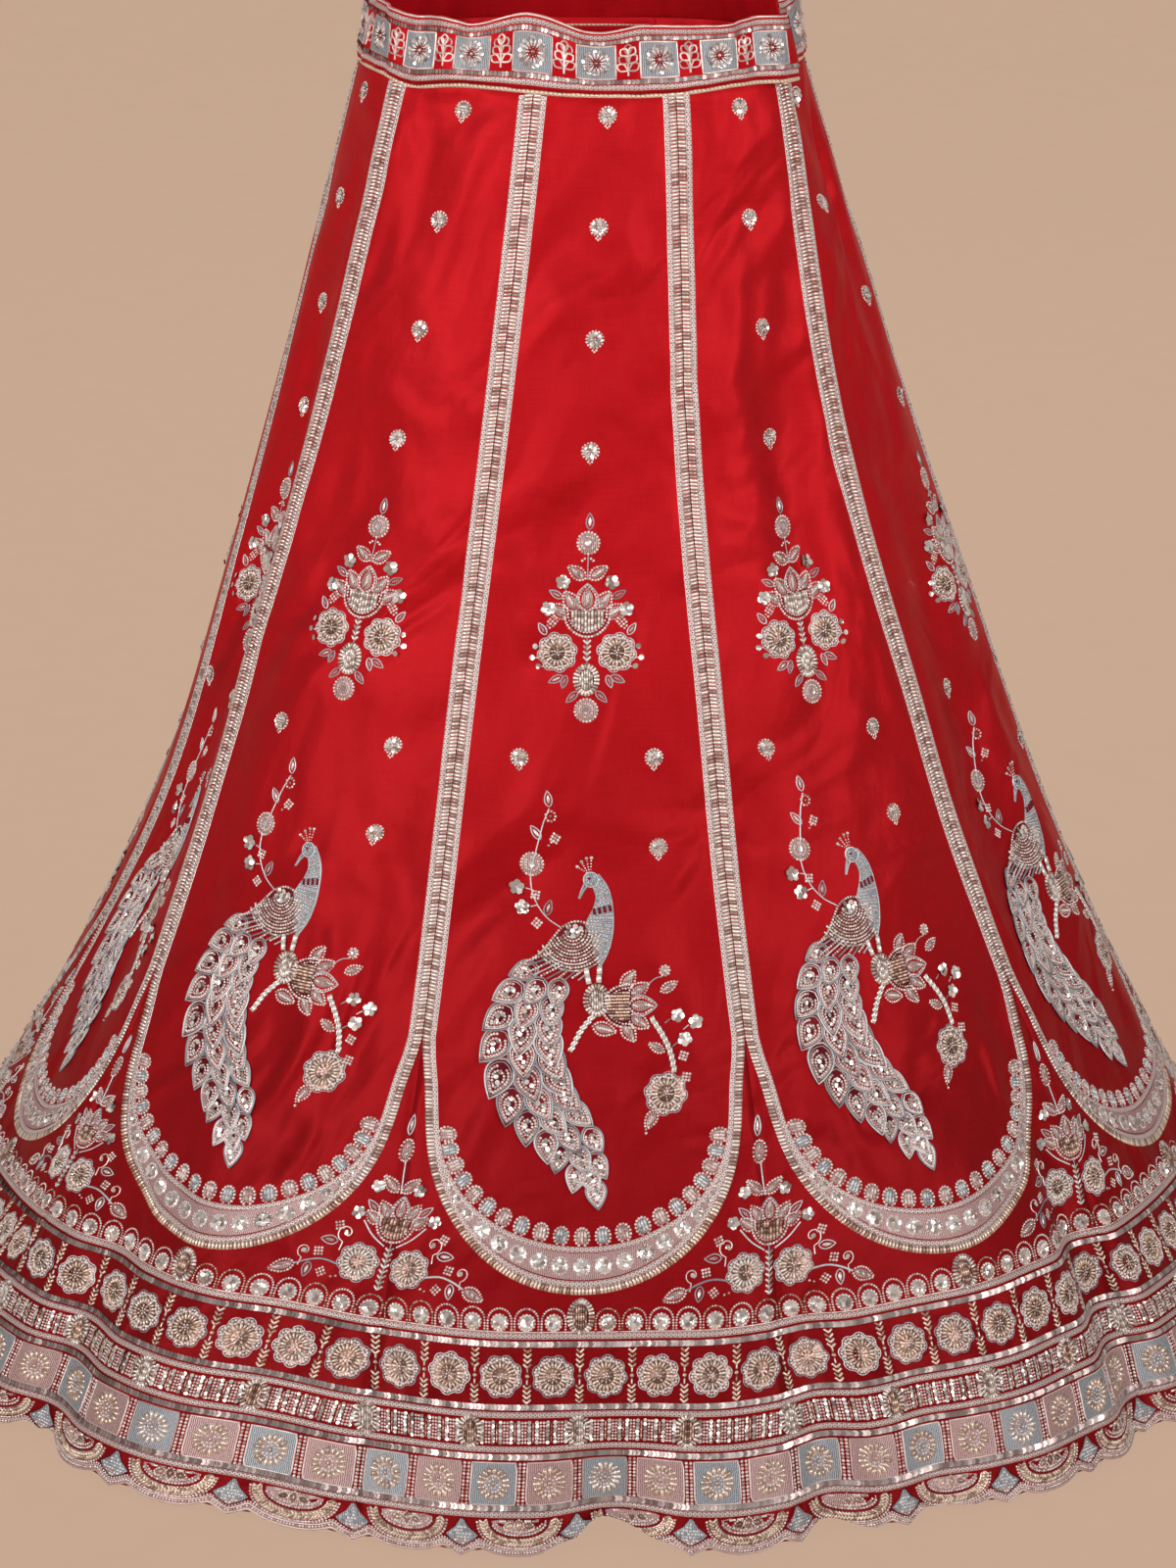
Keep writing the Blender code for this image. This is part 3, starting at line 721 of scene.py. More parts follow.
def cloth_piece(name, outer, normal, thickness, uv, node, slot):
    """A thin shell: the outer face, the inner one behind it, and a rim round both."""
    rows, columns = outer.shape[:2]
    back = rows * columns
    numbers = np.arange(back).reshape(rows, columns)
    cells = grid_faces(numbers)
    rim = np.concatenate([numbers[0, :-1], numbers[:-1, -1], numbers[-1, :0:-1], numbers[:0:-1, 0]])
    after = np.roll(rim, -1)
    faces = np.concatenate([cells, cells[:, ::-1] + back, np.stack([rim, after, after + back, rim + back], axis=-1)])
    points = np.concatenate([outer.reshape(-1, 3), (outer - thickness * normal).reshape(-1, 3)])
    return dress(make_mesh(name, points, [faces], [SILK], uv=np.concatenate([uv, uv])), slot, node)


def dress(piece, slot, node=None):
    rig.ride(piece, "root")
    if node:
        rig.replaces(piece, node)
    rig.slot(piece, slot)
    return piece


def make_panels():
    made = []
    share = np.linspace(-0.5, 0.5, COLUMNS)
    for panel in range(PANELS):
        drops = TOP[panel] + (HEM[panel] - TOP[panel]) * np.linspace(0, 1, ROWS)[:, None]
        own_cloth = 0.37 * panel  # metres, so that no two panels show the same threads
        uv = np.stack([share * width_of(panel, drops) + own_cloth, length_at(drops)], axis=-1).reshape(-1, 2)
        name = f"kali_{panel + 1:02d}"
        made.append(cloth_piece("cloth_" + name, GRID[panel], NORMAL[panel], SHELL, uv, name, "red_silk"))
    return made


panels = make_panels()

# ---------------------------------------------------------------- sewing flat work on to the cloth

METRIC, STRETCHED, SEAMED = range(3)  # how a flat point's x is measured: see on_panel
FOLD_STARTS, FOLD_FULL = 0.942, 0.978  # drops between which the work rises with the hem's lifts

MOTIF_FIT = {  # panel: (length, scale, shift in metres). The motifs were set by hand, so they lie a little differently.
    0: ((0.0, 1.0, 0.000), (0.30, 1.0, 0.000), (0.50, 1.0, 0.001), (0.78, 1.0, 0.003)),
    1: ((0.0, 1.0, -0.002), (0.18, 1.0, 0.007), (0.30, 0.97, 0.002), (0.44, 0.97, -0.005), (0.55, 0.96, -0.006),
        (0.78, 0.94, -0.013)),
    2: ((0.09, 1.0, -0.028), (0.17, 1.0, 0.024), (0.26, 1.0, 0.036), (0.44, 0.95, 0.034), (0.58, 0.9, 0.016),
        (0.78, 0.9, -0.004)),
    8: ((0.0, 0.9, 0.000), (0.30, 0.80, 0.000), (0.44, 0.80, 0.000), (0.50, 0.52, 0.000), (0.78, 0.62, 0.000)),
    9: ((0.0, 1.0, 0.006), (0.30, 1.05, 0.004), (0.44, 1.05, 0.006), (0.55, 1.06, 0.000), (0.78, 1.06, 0.002)),
}


def motif_fit(panel, length):
    """The scale and shift of a panel's own motifs."""
    if panel not in MOTIF_FIT:
        return 1.0, 0.0
    lengths, scales, shifts = zip(*MOTIF_FIT[panel])
    return np.interp(length, lengths, scales), np.interp(length, lengths, shifts)


def raised(grid, normals, row, column, height, *panel):
    """Points over a grid of cloth, at fractions of its rows and columns."""
    low_row, low = row.astype(int), column.astype(int)
    part_row, part = (row - low_row)[:, None], (column - low)[:, None]

    def read(table):
        upper = table[(*panel, low_row, low)] * (1 - part) + table[(*panel, low_row, low + 1)] * part
        lower = table[(*panel, low_row + 1, low)] * (1 - part) + table[(*panel, low_row + 1, low + 1)] * part
        return upper * (1 - part_row) + lower * part_row

    normal = read(normals)
    return read(grid) + normal / np.linalg.norm(normal, axis=1, keepdims=True) * height[:, None]


def on_panel(panel, flat, height, mode, pull):
    """Points of the cloth under flat points (x, length), raised by height.

    METRIC: x is in metres from the panel's centre line. STRETCHED: x is a share of panel 0's width, and so of
    this panel's. SEAMED: the same far from the seams, but where pull is 1 a metric distance from the seam.
    """
    x, length = flat[:, 0], flat[:, 1]
    drop = drop_at(length)
    own, first = width_of(panel, drop), width_of(0, drop)
    scale, shift = motif_fit(panel, length)
    share = np.where(mode == METRIC, 0.5 + (x * scale + shift) / own, 0.5 + x / first)
    from_seam = (first / 2 - np.abs(x)) / own
    by_seam = np.where(x < 0, from_seam, 1 - from_seam)
    share = np.where(mode == SEAMED, share + (by_seam - share) * pull, share)
    over = np.floor(share).astype(int)
    index = (panel + over) % PANELS
    share = share - over
    beyond = width_of(index, drop)
    metric = (over != 0) & (mode == METRIC)
    share = np.where(metric & (over > 0), share * own / beyond, share)
    share = np.where(metric & (over < 0), 1 - (1 - share) * own / beyond, share)
    left, right = np.empty_like(drop), np.empty_like(drop)
    for one in np.unique(index):
        here = index == one
        left[here], right[here] = seam_angle(one - 1, drop[here]), seam_angle(one, drop[here])
    angle = left + (right - left) * share
    drop = drop - hem_rise(angle) * ease((drop - FOLD_STARTS) / (FOLD_FULL - FOLD_STARTS))
    column = np.clip(share * (COLUMNS - 1), 0, COLUMNS - 1.0001)
    low = column.astype(int)
    part = column - low
    top = TOP[index, low] * (1 - part) + TOP[index, low + 1] * part
    hem = HEM[index, low] * (1 - part) + HEM[index, low + 1] * part
    row = np.clip((drop - top) / (hem - top) * (ROWS - 1), 0, ROWS - 1.0001)
    return raised(GRID, NORMAL, row, column, height, index)


def on_belt(outer, normals, run, flat, height):
    """The same for the belt: x along it and y down from its lower edge, so y is negative."""
    rows, columns = outer.shape[:2]
    column = np.minimum(np.interp(flat[:, 0], run, np.arange(columns)), columns - 1.000001)
    row = np.clip((BAND_HEIGHT + flat[:, 1]) / BAND_HEIGHT * (rows - 1), 0, rows - 1.000001)
    return raised(outer, normals, row, column, height)


def travelled(path):
    """The length along a path at each of its points."""
    return np.concatenate([[0], np.cumsum(np.linalg.norm(np.diff(path, axis=0), axis=1))])


def xy(x, y):
    return np.stack(np.broadcast_arrays(x, y), -1)


def oval(wide, deep, angle):
    return np.stack([wide * np.cos(angle), deep * np.sin(angle)], -1)


def closed(path):
    return np.concatenate([path, path[:1]])


def fan_faces(sides):
    return np.array([[0, 1 + i, 1 + (i + 1) % sides] for i in range(sides)])


def repeated(faces, count, points):
    """The faces of count copies of a shape that has so many points."""
    return (faces[None] + points * np.arange(count)[:, None, None]).reshape(-1, 3)


TWELFTHS = np.arange(12) * math.pi / 6
SIXTHS = np.arange(6) * math.pi / 3
BEAD = np.concatenate([[[0, 0, 1.0]], np.pad(oval(1.04, 1.04, np.arange(5) * math.pi / 2.5), ((0, 0), (0, 1)))])
BEAD_FACES, SEQUIN_FACES = fan_faces(5), fan_faces(6)
ROOF = np.array([[-1, -1, 0], [1, -1, 0], [1, 1, 0], [-1, 1, 0], [-0.9, 0, 1], [0.9, 0, 1]], float)
ROOF_FACES = np.array([[0, 1, 5], [0, 5, 4], [2, 3, 4], [2, 4, 5], [1, 2, 5], [3, 0, 4]])


class Flatwork:
    """Embroidery laid out flat: points (x, length) in metres with heights, triangles, slots and tones."""

    def __init__(self):
        self.flat, self.height, self.faces, self.slots = [], [], [], []
        self.tones, self.uvs, self.modes, self.pulls = [], [], [], []
        self.count = 0
        self.rise = None  # a further height, by place
        self.place()

    def place(self, mode=METRIC, x=0.0, length=0.0, size=1.0):
        """Sets where the following work goes: its millimetres, sized, from (x, length)."""
        self.mode, self.origin, self.scale = mode, np.array([x, length]), size * 0.001

    def add(self, points, heights, faces, slot, tones, uv=None):
        """points in mm by the current place, heights in mm, faces counterclockwise with x right and y up."""
        flat = points * self.scale + self.origin
        self.flat.append(flat)
        heights = np.broadcast_to(heights, len(points)) + (0.0 if self.rise is None else self.rise(points))
        self.height.append(heights * 0.001)
        self.faces.append((np.asarray(faces) + self.count)[:, ::-1])
        self.slots.append(np.full(len(faces), slot))
        self.tones.append(np.broadcast_to(tones, len(points)))
        self.uvs.append(flat if uv is None else uv)
        self.modes.append(np.full(len(points), self.mode))
        pull = np.zeros(len(points))
        if self.mode == SEAMED:
            pull = 1 - ease((drop_at(flat[:, 1]) - 0.59) / 0.10)
        self.pulls.append(pull)
        self.count += len(points)

    def stamp(self, template, faces, centres, headings, lengths, widths, heights, lifts, slot, tones=None):
        """Many copies of one small shape, with painted shade: its colour darker at its foot and lighter at its top.
        Headings are in radians, the rest in mm.
        """
        centres = np.atleast_2d(np.asarray(centres, float))
        n = len(centres)
        headings, lengths, widths, heights, lifts = (
            np.broadcast_to(np.asarray(v, float), n) for v in (headings, lengths, widths, heights, lifts)
        )
        if tones is None:
            tones = np.where(rng.random(n) < 0.28, 0.10, 0.72) + 0.28 * rng.random(n)
        # painted shade and highlight: each copy's tone is scaled from 0.4 at its foot up to 1.0 at its top
        tones = np.broadcast_to(tones, n)[:, None] * (0.40 + 0.60 * template[:, 2])
        a, b = template[:, 0] * lengths[:, None], template[:, 1] * widths[:, None]
        c, s = np.cos(headings)[:, None], np.sin(headings)[:, None]
        points = np.stack([centres[:, :1] + c * a - s * b, centres[:, 1:] + s * a + c * b], axis=-1).reshape(-1, 2)
        up = (lifts[:, None] + template[:, 2] * heights[:, None]).ravel()
        self.add(points, up, repeated(faces, n, len(template)), slot, tones.ravel())

    def beads(self, centres, radius=0.9, slot=PEARL, lift=0.05, tones=None):
        self.stamp(BEAD, BEAD_FACES, centres, 0.3, radius, radius, radius * 1.15, lift, slot, tones)

    def bugles(self, centres, headings, length=4.5, width=1.5, slot=BUGLE, height=1.1, lift=0.05, tones=None):
        self.stamp(ROOF, ROOF_FACES, centres, headings, length / 2, width / 2, height, lift, slot, tones)

    def sequins(self, centres, radius=1.7, lift=0.35, tilt=0.32):
        centres = np.atleast_2d(np.asarray(centres, float))
        n = len(centres)
        radius = np.broadcast_to(radius, n)
        tx, ty = rng.normal(0, tilt, (2, n))
        turn = rng.random(n)[:, None] * math.pi / 3 + SIXTHS
        rim = oval(1, 1, turn) * radius[:, None, None]
        points = np.concatenate([centres[:, None], centres[:, None] + rim], axis=1)
        slope = rim[..., 0] * tx[:, None] + rim[..., 1] * ty[:, None]
        base = lift + np.hypot(tx, ty) * radius
        up = np.concatenate([(base - 0.16 * radius)[:, None], base[:, None] + slope], axis=1)
        self.add(points.reshape(-1, 2), up.ravel(), repeated(SEQUIN_FACES, n, 7), SEQUIN, np.repeat(rng.random(n), 7))

    def sequin_row(self, path, radius=2.3, pitch=2.75):
        """Flat sequins, each lying over the edge of the one before."""
        points, heading = spaced(path, pitch)
        n = len(points)
        rim = oval(radius, radius, SIXTHS)
        c, s = np.cos(heading)[:, None], np.sin(heading)[:, None]
        slope = 0.22 + rng.normal(0, 0.05, n)[:, None]
        lean = rng.normal(0, 0.07, n)[:, None]
        turned_rim = np.stack([c * rim[:, 0] - s * rim[:, 1], s * rim[:, 0] + c * rim[:, 1]], -1)
        every = np.concatenate([points[:, None], points[:, None] + turned_rim], axis=1)
        heights = np.concatenate([np.full((n, 1), 0.68), 0.75 + rim[:, 0] * slope + rim[:, 1] * lean], axis=1)
        tones = 0.12 + 0.38 * rng.random(n) + 0.5 * (rng.random(n) > 0.93)
        self.add(every.reshape(-1, 2), heights.ravel(), repeated(SEQUIN_FACES, n, 7), MAUVE, np.repeat(tones, 7))

    def strip(self, path, width, across, heights, slot, tone, uv=None):
        """A strip along a path, its points at shares of half its width."""
        run = np.gradient(path, axis=0)
        if np.array_equal(path[0], path[-1]):
            run[0] = run[-1] = path[1] - path[-2]
        run /= np.linalg.norm(run, axis=1, keepdims=True) + 1e-9
        side = np.stack([-run[:, 1], run[:, 0]], axis=-1) * width / 2
        points = path[:, None] + side[:, None] * np.array(across)[None, :, None]
        quads = grid_faces(np.arange(len(path) * len(across)).reshape(len(path), -1))
        faces = np.concatenate([quads[:, [0, 1, 2]], quads[:, [0, 2, 3]]])
        self.add(points.reshape(-1, 2), np.tile(heights, len(path)), faces, slot, tone, uv)

    def cord(self, path, width=1.0, slot=CORD, height=0.7, loop=False, lift=0.0, tone=None):
        path = np.asarray(path, float)
        ridge = [lift - 0.05, lift + height, lift - 0.05]
        tone = rng.random() if tone is None else tone
        self.strip(closed(path) if loop else path, width, (-1, 0, 1), ridge, slot, tone)

    def chain(self, path, width=3.5, pitch=3.1, height=0.75):
        """Lace along a path; its pattern runs with the length."""
        across = np.array([-1, -0.55, 0.55, 1])
        uv = np.stack([np.repeat(travelled(path) / pitch, 4), np.tile((across + 1) / 2, len(path))], axis=-1)
        self.strip(path, width, across, [0.0, height, height, 0.0], CHAIN, rng.random(), uv)

    def plate(self, outline, slot, height=0.35, rings=2, tone=None):
        """A filled patch with soft edges inside a convex outline."""
        outline = np.asarray(outline, float)
        n = len(outline)
        middle = outline.mean(axis=0)
        shares = np.concatenate([[1.0], np.linspace(0.93, 0.0, rings + 1)[:-1]])
        points = [middle + (outline - middle) * share for share in shares] + [middle[None]]
        up = np.concatenate([np.full(n, -0.1), np.full(n * rings + 1, height)])
        here = np.arange(n)
        after = np.roll(here, -1)
        faces = []
        for ring in range(rings):
            a, b = ring * n, (ring + 1) * n
            faces += [np.stack([a + here, a + after, b + after], -1), np.stack([a + here, b + after, b + here], -1)]
        last = rings * n
        faces.append(np.stack([last + here, last + after, np.full(n, last + n)], -1))
        faces = np.concatenate(faces)
        if np.cross(outline - middle, np.roll(outline, -1, axis=0) - middle).sum() < 0:
            faces = faces[:, ::-1]
        self.add(np.concatenate(points), up, faces, slot, rng.random() if tone is None else tone)

    def band(self, path_a, path_b, slot, height=0.3, rows=3):
        """A filled strip between two paths with as many points. Its uv runs along it and across it, in metres."""
        shares = np.linspace(0, 1, rows + 1)
        points = path_a[:, None] + (path_b - path_a)[:, None] * shares[None, :, None]
        n, m = points.shape[:2]
        along = np.broadcast_to(travelled((path_a + path_b) / 2)[:, None], (n, m))
        wide = np.linalg.norm(path_b - path_a, axis=1)[:, None] * shares
        uv = np.stack([along, wide], -1).reshape(-1, 2) / 1000
        quads = grid_faces(np.arange(n * m).reshape(n, m))
        faces = np.concatenate([quads[:, [0, 1, 2]], quads[:, [0, 2, 3]]])
        a, b, c = (points.reshape(-1, 2)[faces[:, i]] for i in range(3))
        if np.cross(b - a, c - a).sum() < 0:
            faces = faces[:, ::-1]
        self.add(points.reshape(-1, 2), height, faces, slot, rng.random(), uv)

    def arrays(self):
        parts = (self.flat, self.height, self.faces, self.slots, self.tones, self.uvs, self.modes, self.pulls)
        return [np.concatenate(part) for part in parts]


def around(x, y, radius, count, start=0.0):
    """count points on a circle about (x, y), and the direction out from it at each."""
    angle = math.radians(start) + np.arange(count) * 2 * math.pi / count
    return np.array([x, y]) + oval(radius, radius, angle), angle


def circle(x, y, radius, count, start=0.0):
    return around(x, y, radius, count, start)[0]


def spaced(path, step):
    """Points at even steps along a path, and the heading there."""
    path = np.asarray(path, float)
    lengths = travelled(path)
    count = max(2, int(round(lengths[-1] / step)) + 1)
    at = np.linspace(0, lengths[-1], count)
    points, ahead, behind = (
        np.stack([np.interp(at + slip, lengths, path[:, i]) for i in (0, 1)], -1) for slip in (0, 0.3, -0.3)
    )
    run = ahead - behind
    return points, np.arctan2(run[:, 1], run[:, 0])


def curve(points, count=24):
    """A smooth path through a few points."""
    points = np.asarray(points, float)
    at = travelled(points)
    t = np.linspace(0, at[-1], count)
    return np.stack([through(t, at, points[:, 0]), through(t, at, points[:, 1])], -1)

# ---------------------------------------------------------------- motifs, in mm with x right and y down

TURN = 2 * math.pi


def at(x, y, degrees, points):
    """Points laid out along +x, turned to a direction and moved to (x, y)."""
    c, s = math.cos(math.radians(degrees)), math.sin(math.radians(degrees))
    points = np.asarray(points, float)
    return xy(x + c * points[..., 0] - s * points[..., 1], y + s * points[..., 0] + c * points[..., 1])


def evenly(outline, step):
    """Points at even steps round a closed outline."""
    return spaced(closed(outline), step)[0][:-1]


def fitting(length, pitch, least=1):
    """How many things go into a length, a pitch apart."""
    return max(least, int(round(length / pitch)))


def symmetric(length, t, half_width):
    """A closed outline about the x axis."""
    return np.concatenate([xy(t * length, -half_width), xy(t * length, half_width)[-2:0:-1]])


def leaf_outline(length, width, count=13, belly=0.42):
    """A pointed leaf from (0, 0) to (length, 0)."""
    t = np.linspace(0, 1, count)
    skew = t ** (math.log(0.5) / math.log(belly))
    return symmetric(length, t, width / 2 * np.sin(np.pi * skew) ** 0.85)


def feather_outline(length, width, count):
    """Round at its root and pointed at its tip."""
    t = np.linspace(0, 1, count) ** 1.15
    return symmetric(length, t, width / 2 * np.sin(np.pi * t**0.72) ** 0.9)


def leaf(w, x, y, length, width, degrees):
    """A loop of grey cord round a small patch."""
    w.cord(at(x, y, degrees, leaf_outline(length, width)), 1.0, GREY, loop=True)
    core = at(x, y, degrees, leaf_outline(length * 0.62, width * 0.42, 9) + [length * 0.18, 0])
    w.plate(core, SEQUIN if rng.random() < 0.4 else PINK_NET, 0.4, 1)


def bead_leaf(w, x, y, length, width, degrees):
    """A leaf edged with pearls, with slanting bugles down its middle."""
    put = partial(at, x, y, degrees)
    w.beads(put(evenly(leaf_outline(length, width), 2.15)), 0.95)
    w.plate(put(leaf_outline(length * 0.86, width * 0.66, 9) + [length * 0.06, 0]), PINK_NET, 0.25, 1)
    ribs = np.arange(length * 0.24, length * 0.84, 2.2)
    w.bugles(put(xy(ribs, 0)), math.radians(degrees) + 0.5, width * 0.34, 1.3, BUGLE, 0.9, 0.25)


def ring_disc(w, x, y, r):
    """Two rings of pearls round a sequin."""
    w.plate(circle(x, y, r - 1.2, 16), PINK_NET, 0.3, 1)
    w.beads(circle(x, y, r - 1.0, fitting(TURN * (r - 1.0), 2.35, 8)), 1.08)
    w.beads(circle(x, y, r * 0.53, fitting(TURN * r * 0.53, 2.0, 6)), 0.85, lift=0.3)
    w.sequins([[x, y]], r * 0.27, lift=0.5, tilt=0.12)


def sequin_flower(w, x, y, r):
    petals = circle(x, y, r * 0.54, 5, rng.random() * 60)
    # painted shade: a dark maroon plate under the sequin petals, showing between them as contact shadow
    w.plate(circle(x, y, r * 0.62, 8), MAROON, 0.25, 1)
    w.sequins(petals, r * 0.44, tilt=0.22)
    w.beads([[x, y]], 1.0, BUGLE, lift=0.7)


def round_flower(w, x, y, r, start, rays=BUGLE):
    """Eight lobes edged with pearls, three pearls in each, round a fan of bugles and a rosy ring."""
    t = np.linspace(0, TURN, 40, endpoint=False)
    wave = r * (0.82 + 0.18 * np.abs(np.cos((t - math.radians(start)) * 4)) ** 0.8)
    edge = oval(wave, wave, t)
    # painted shade: a near-black coppery plate under the whole flower, showing between its beads as contact shadow
    w.plate([x, y] + edge * 0.97, COPPER, 0.3, 1, tone=0.10)
    w.cord([x, y] + edge, 0.75, GREY, 0.55, loop=True)
    ring = [x, y] + evenly(edge * (0.90 - 0.4 / r), 2.15)
    w.beads(ring, 1.08, lift=0.25, tones=0.65 + 0.35 * rng.random(len(ring)))
    for turn, far in ((0, 0.70), (-11, 0.745), (11, 0.745)):
        w.beads(circle(x, y, r * far, 8, start + turn), r * 0.072 + 0.1, lift=0.4, tones=0.6 + 0.4 * rng.random(8))
    ring, out = around(x, y, r * 0.53, int(round(r * 1.4)), start + 6)
    rosy = rng.random() < 0.8
    for part in (0, 1):
        some = out[part::2]
        w.bugles(ring[part::2], some, r * 0.30, 1.95, COPPER if rosy and part else rays, 1.4, 0.6,
                 tones=0.6 + 0.4 * rng.random(len(some)))
    w.bugles(*around(x, y, r * 0.27, fitting(r * 0.62, 1, 6), start), r * 0.16, 1.4, COPPER, 1.2, 0.8)
    w.beads(circle(x, y, 1.9, 5, start), 0.8, lift=0.9)
    w.beads([[x, y]], 0.9, lift=1.0)


def pile(w, put, heading, column, top, tall, pitch, share, width, core, lift):
    """Bugles end to end down a column."""
    parts = fitting(tall, pitch)
    rows = top + (np.arange(parts) + 0.5) / parts * tall
    w.bugles(put(xy(column, rows)), heading, tall / parts * share, width, core, 1.5, lift)


def sunburst(w, x, y, rx, ry, core=COPPER, count=None):
    """An oval of short bugles set side by side round a core of long upright ones."""
    put = partial(at, x, y, 0)
    count = count or fitting(math.pi * (rx + ry) * 0.84, 2.45)
    w.plate(put(oval(rx * 0.86, ry * 0.86, TWELFTHS)), MAROON, 0.15, 1)
    angle = np.arange(count) * TURN / count
    long = min(4.4, 0.42 * min(rx, ry))
    heading = np.arctan2(np.sin(angle) * rx, np.cos(angle) * ry)
    w.bugles(put(oval(rx - long / 2, ry - long / 2, angle)), heading, long, 2.1, BUGLE, 1.4, 0.2)
    wide, deep = rx - long - 0.3, ry - long - 0.3
    for column in np.arange(-wide + 0.8, wide - 0.3, 1.65):
        tall = deep * math.sqrt(max(0.12, 1 - (column / wide) ** 2))
        pile(w, put, TURN / 4, column, -tall, 2 * tall, 5.5, 0.96, 1.6, core, 0.5)


def round_burst(w, x, y, r):
    """A ring of radial bugles, uneven in length, round two rings of pearls and a rosy middle."""
    n = fitting(TURN * r * 0.76, 3.5)
    ring, out = around(x, y, r * 0.76, n, rng.random() * 20)
    lengths = r * (0.40 + 0.10 * rng.random(n))
    slot = GOLD if rng.random() < 0.5 else BUGLE
    w.bugles(ring, out, lengths, 2.9, slot, 1.8, 0.25, tones=0.35 + 0.65 * rng.random(n))
    w.beads(circle(x, y, r * 0.47, fitting(TURN * r * 0.47, 2.25)), 1.1, lift=0.35)
    w.beads(circle(x, y, r * 0.26, 7, 12), 0.95, lift=0.6)
    w.beads([[x, y]], r * 0.13, COPPER, lift=0.7)


def cluster(w, x, y, degrees, radius=1.04):
    """Nine beads in a square."""
    w.beads(at(x, y, degrees, [(i, j) for i in (-2.25, 0, 2.25) for j in (-2.25, 0, 2.25)]), radius)


def chevrons(w, x, y, count, step, length, tip=False, slot=BUGLE):
    """Pairs of bugles in V shapes, one above another."""
    for side in (-1, 1):
        arms = xy(x + side * length * 0.33, y - np.arange(count) * step)
        w.bugles(arms, -TURN / 4 + side * 0.75, length, 1.6, slot, lift=0.1)
    if tip:
        w.bugles([[x, y + step * 0.8]], -TURN / 4, length * 0.9, 1.4, slot, lift=0.1)


def tulip(w, x, y, wide, tall, degrees=0.0, core=BUGLE):
    """A bowl of bugles edged with pearls, under round beaded petals. It opens towards -y before turning."""
    put = partial(at, x, y, degrees)
    bowl = oval(wide * 0.44, tall * 0.50, np.linspace(-0.12, np.pi + 0.12, 17)) - [0, tall * 0.02]
    w.plate(put(bowl * 0.97), MAROON, 0.3, 1)
    for share, radius in ((1.0, 1.05), (0.84, 0.9)):
        w.beads(put(spaced(bowl * share, 2.25)[0]), radius)
    high = -tall * 0.03
    for column in np.arange(-wide * 0.27, wide * 0.28, 2.3):
        low = tall * (-0.02 + 0.47 * max(0.0, 1 - (column / (wide * 0.37)) ** 2) ** 0.5) - 1.6
        pile(w, put, TURN / 4 + math.radians(degrees), column, high, low - high, 4.6, 0.95, 2.0, core, 0.4)
    for side in (-1, 1):
        for out, down, length, width, lean in ((0.36, 0.10, 0.40, 0.27, 56), (0.20, -0.02, 0.43, 0.29, 32)):
            foot = put([side * out * wide, down * tall])
            bead_leaf(w, *foot, length * tall, width * wide, degrees - 90 + side * lean)
    bead_leaf(w, *put([0, -tall * 0.01]), tall * 0.50, wide * 0.34, degrees - 90)
    w.cord(at(x, y, degrees - 90, leaf_outline(tall * 0.54, wide * 0.42)), 0.9, GREY, 0.6, loop=True)


def booti(w, x, length):
    """A small round flower, packed with beads and sequins, with a point under it."""
    w.place(METRIC, x, length, 1.05)
    w.plate(circle(0, 0, 5.2, 12), PINK_NET, 0.25, 1)
    w.sequins(circle(0, 0, 3.6, 7, 15), tilt=0.25)
    w.beads(circle(0, 0, 5.6, 16, 5), 0.92)
    w.bugles(*around(0, 0, 2.1, 6), 2.0, 1.3, BUGLE, 1.2, 0.6)
    w.beads([[0, 0]], 0.95, lift=0.9)
    w.beads([[0, 8.2], [-1.3, 7.1], [1.3, 7.1]], 0.85)


LOWER_LEAVES = (  # x, y, length, width and lean from straight down
    (14.5, 41.6, 9.5, 4.4, 18), (17.0, 42.0, 11.0, 4.8, 64), (6.4, 53.0, 11.0, 4.6, 46),
)


def bouquet(w, x, length):
    """A tulip between two round flowers, on a stem of discs and leaves."""
    w.place(METRIC, x, length)
    leaf(w, 1.0, -61.5, 11.5, 5.2, -90)
    ring_disc(w, 0.2, -52.0, 8.6)
    w.cord([(0.2, -43.5), (0.0, -36), (0, -26)], 0.9, GREY, 0.6)
    for s in (-1, 1):
        w.beads([[s * 2.2, -41.0], [s * 4.0, -39.6]], 1.0, SEQUIN)
        bead_leaf(w, s * 1.5, -27.0, 15.0, 8.6, -90 + s * 56)
        sequin_flower(w, s * 17.2, -24.2, 5.6)
        leaf(w, s * 17.6, -13.2, 10.5, 4.6, -90 + s * 62)
        sequin_flower(w, s * 27.6, -5.2, 5.6)
        cluster(w, s * 24.4, 3.6, s * 50)
        w.beads([[s * 28.0, 6.6], [s * 26.4, 8.2]], 0.9)
        leaf(w, s * 29.0, 13.0, 9.5, 4.6, -90 + s * 34)
        round_flower(w, s * 21.0, 25.4, 14.3, s * 11)
        for dx, dy in ((36.4, 21.6), (38.6, 29.6), (34.2, 35.6)):
            w.sequins([[s * dx, dy]], 2.1)
            w.bugles([[s * (dx - 3.2), dy]], 0.0, 2.4, 1.0, BUGLE, 0.8)
        for px, py, long, wide, lean in LOWER_LEAVES:
            leaf(w, s * px, py, long, wide, 90 - s * lean)
    tulip(w, 0, -3.6, 38.0, 37.0)
    w.cord([(0, 14), (0, 33)], 0.9, GREY, 0.6)
    chevrons(w, 0, 29.5, 4, 3.9, 3.8)
    sunburst(w, -0.3, 44.6, 9.4, 11.6, BUGLE)
    ring_disc(w, -0.4, 66.4, 8.9)


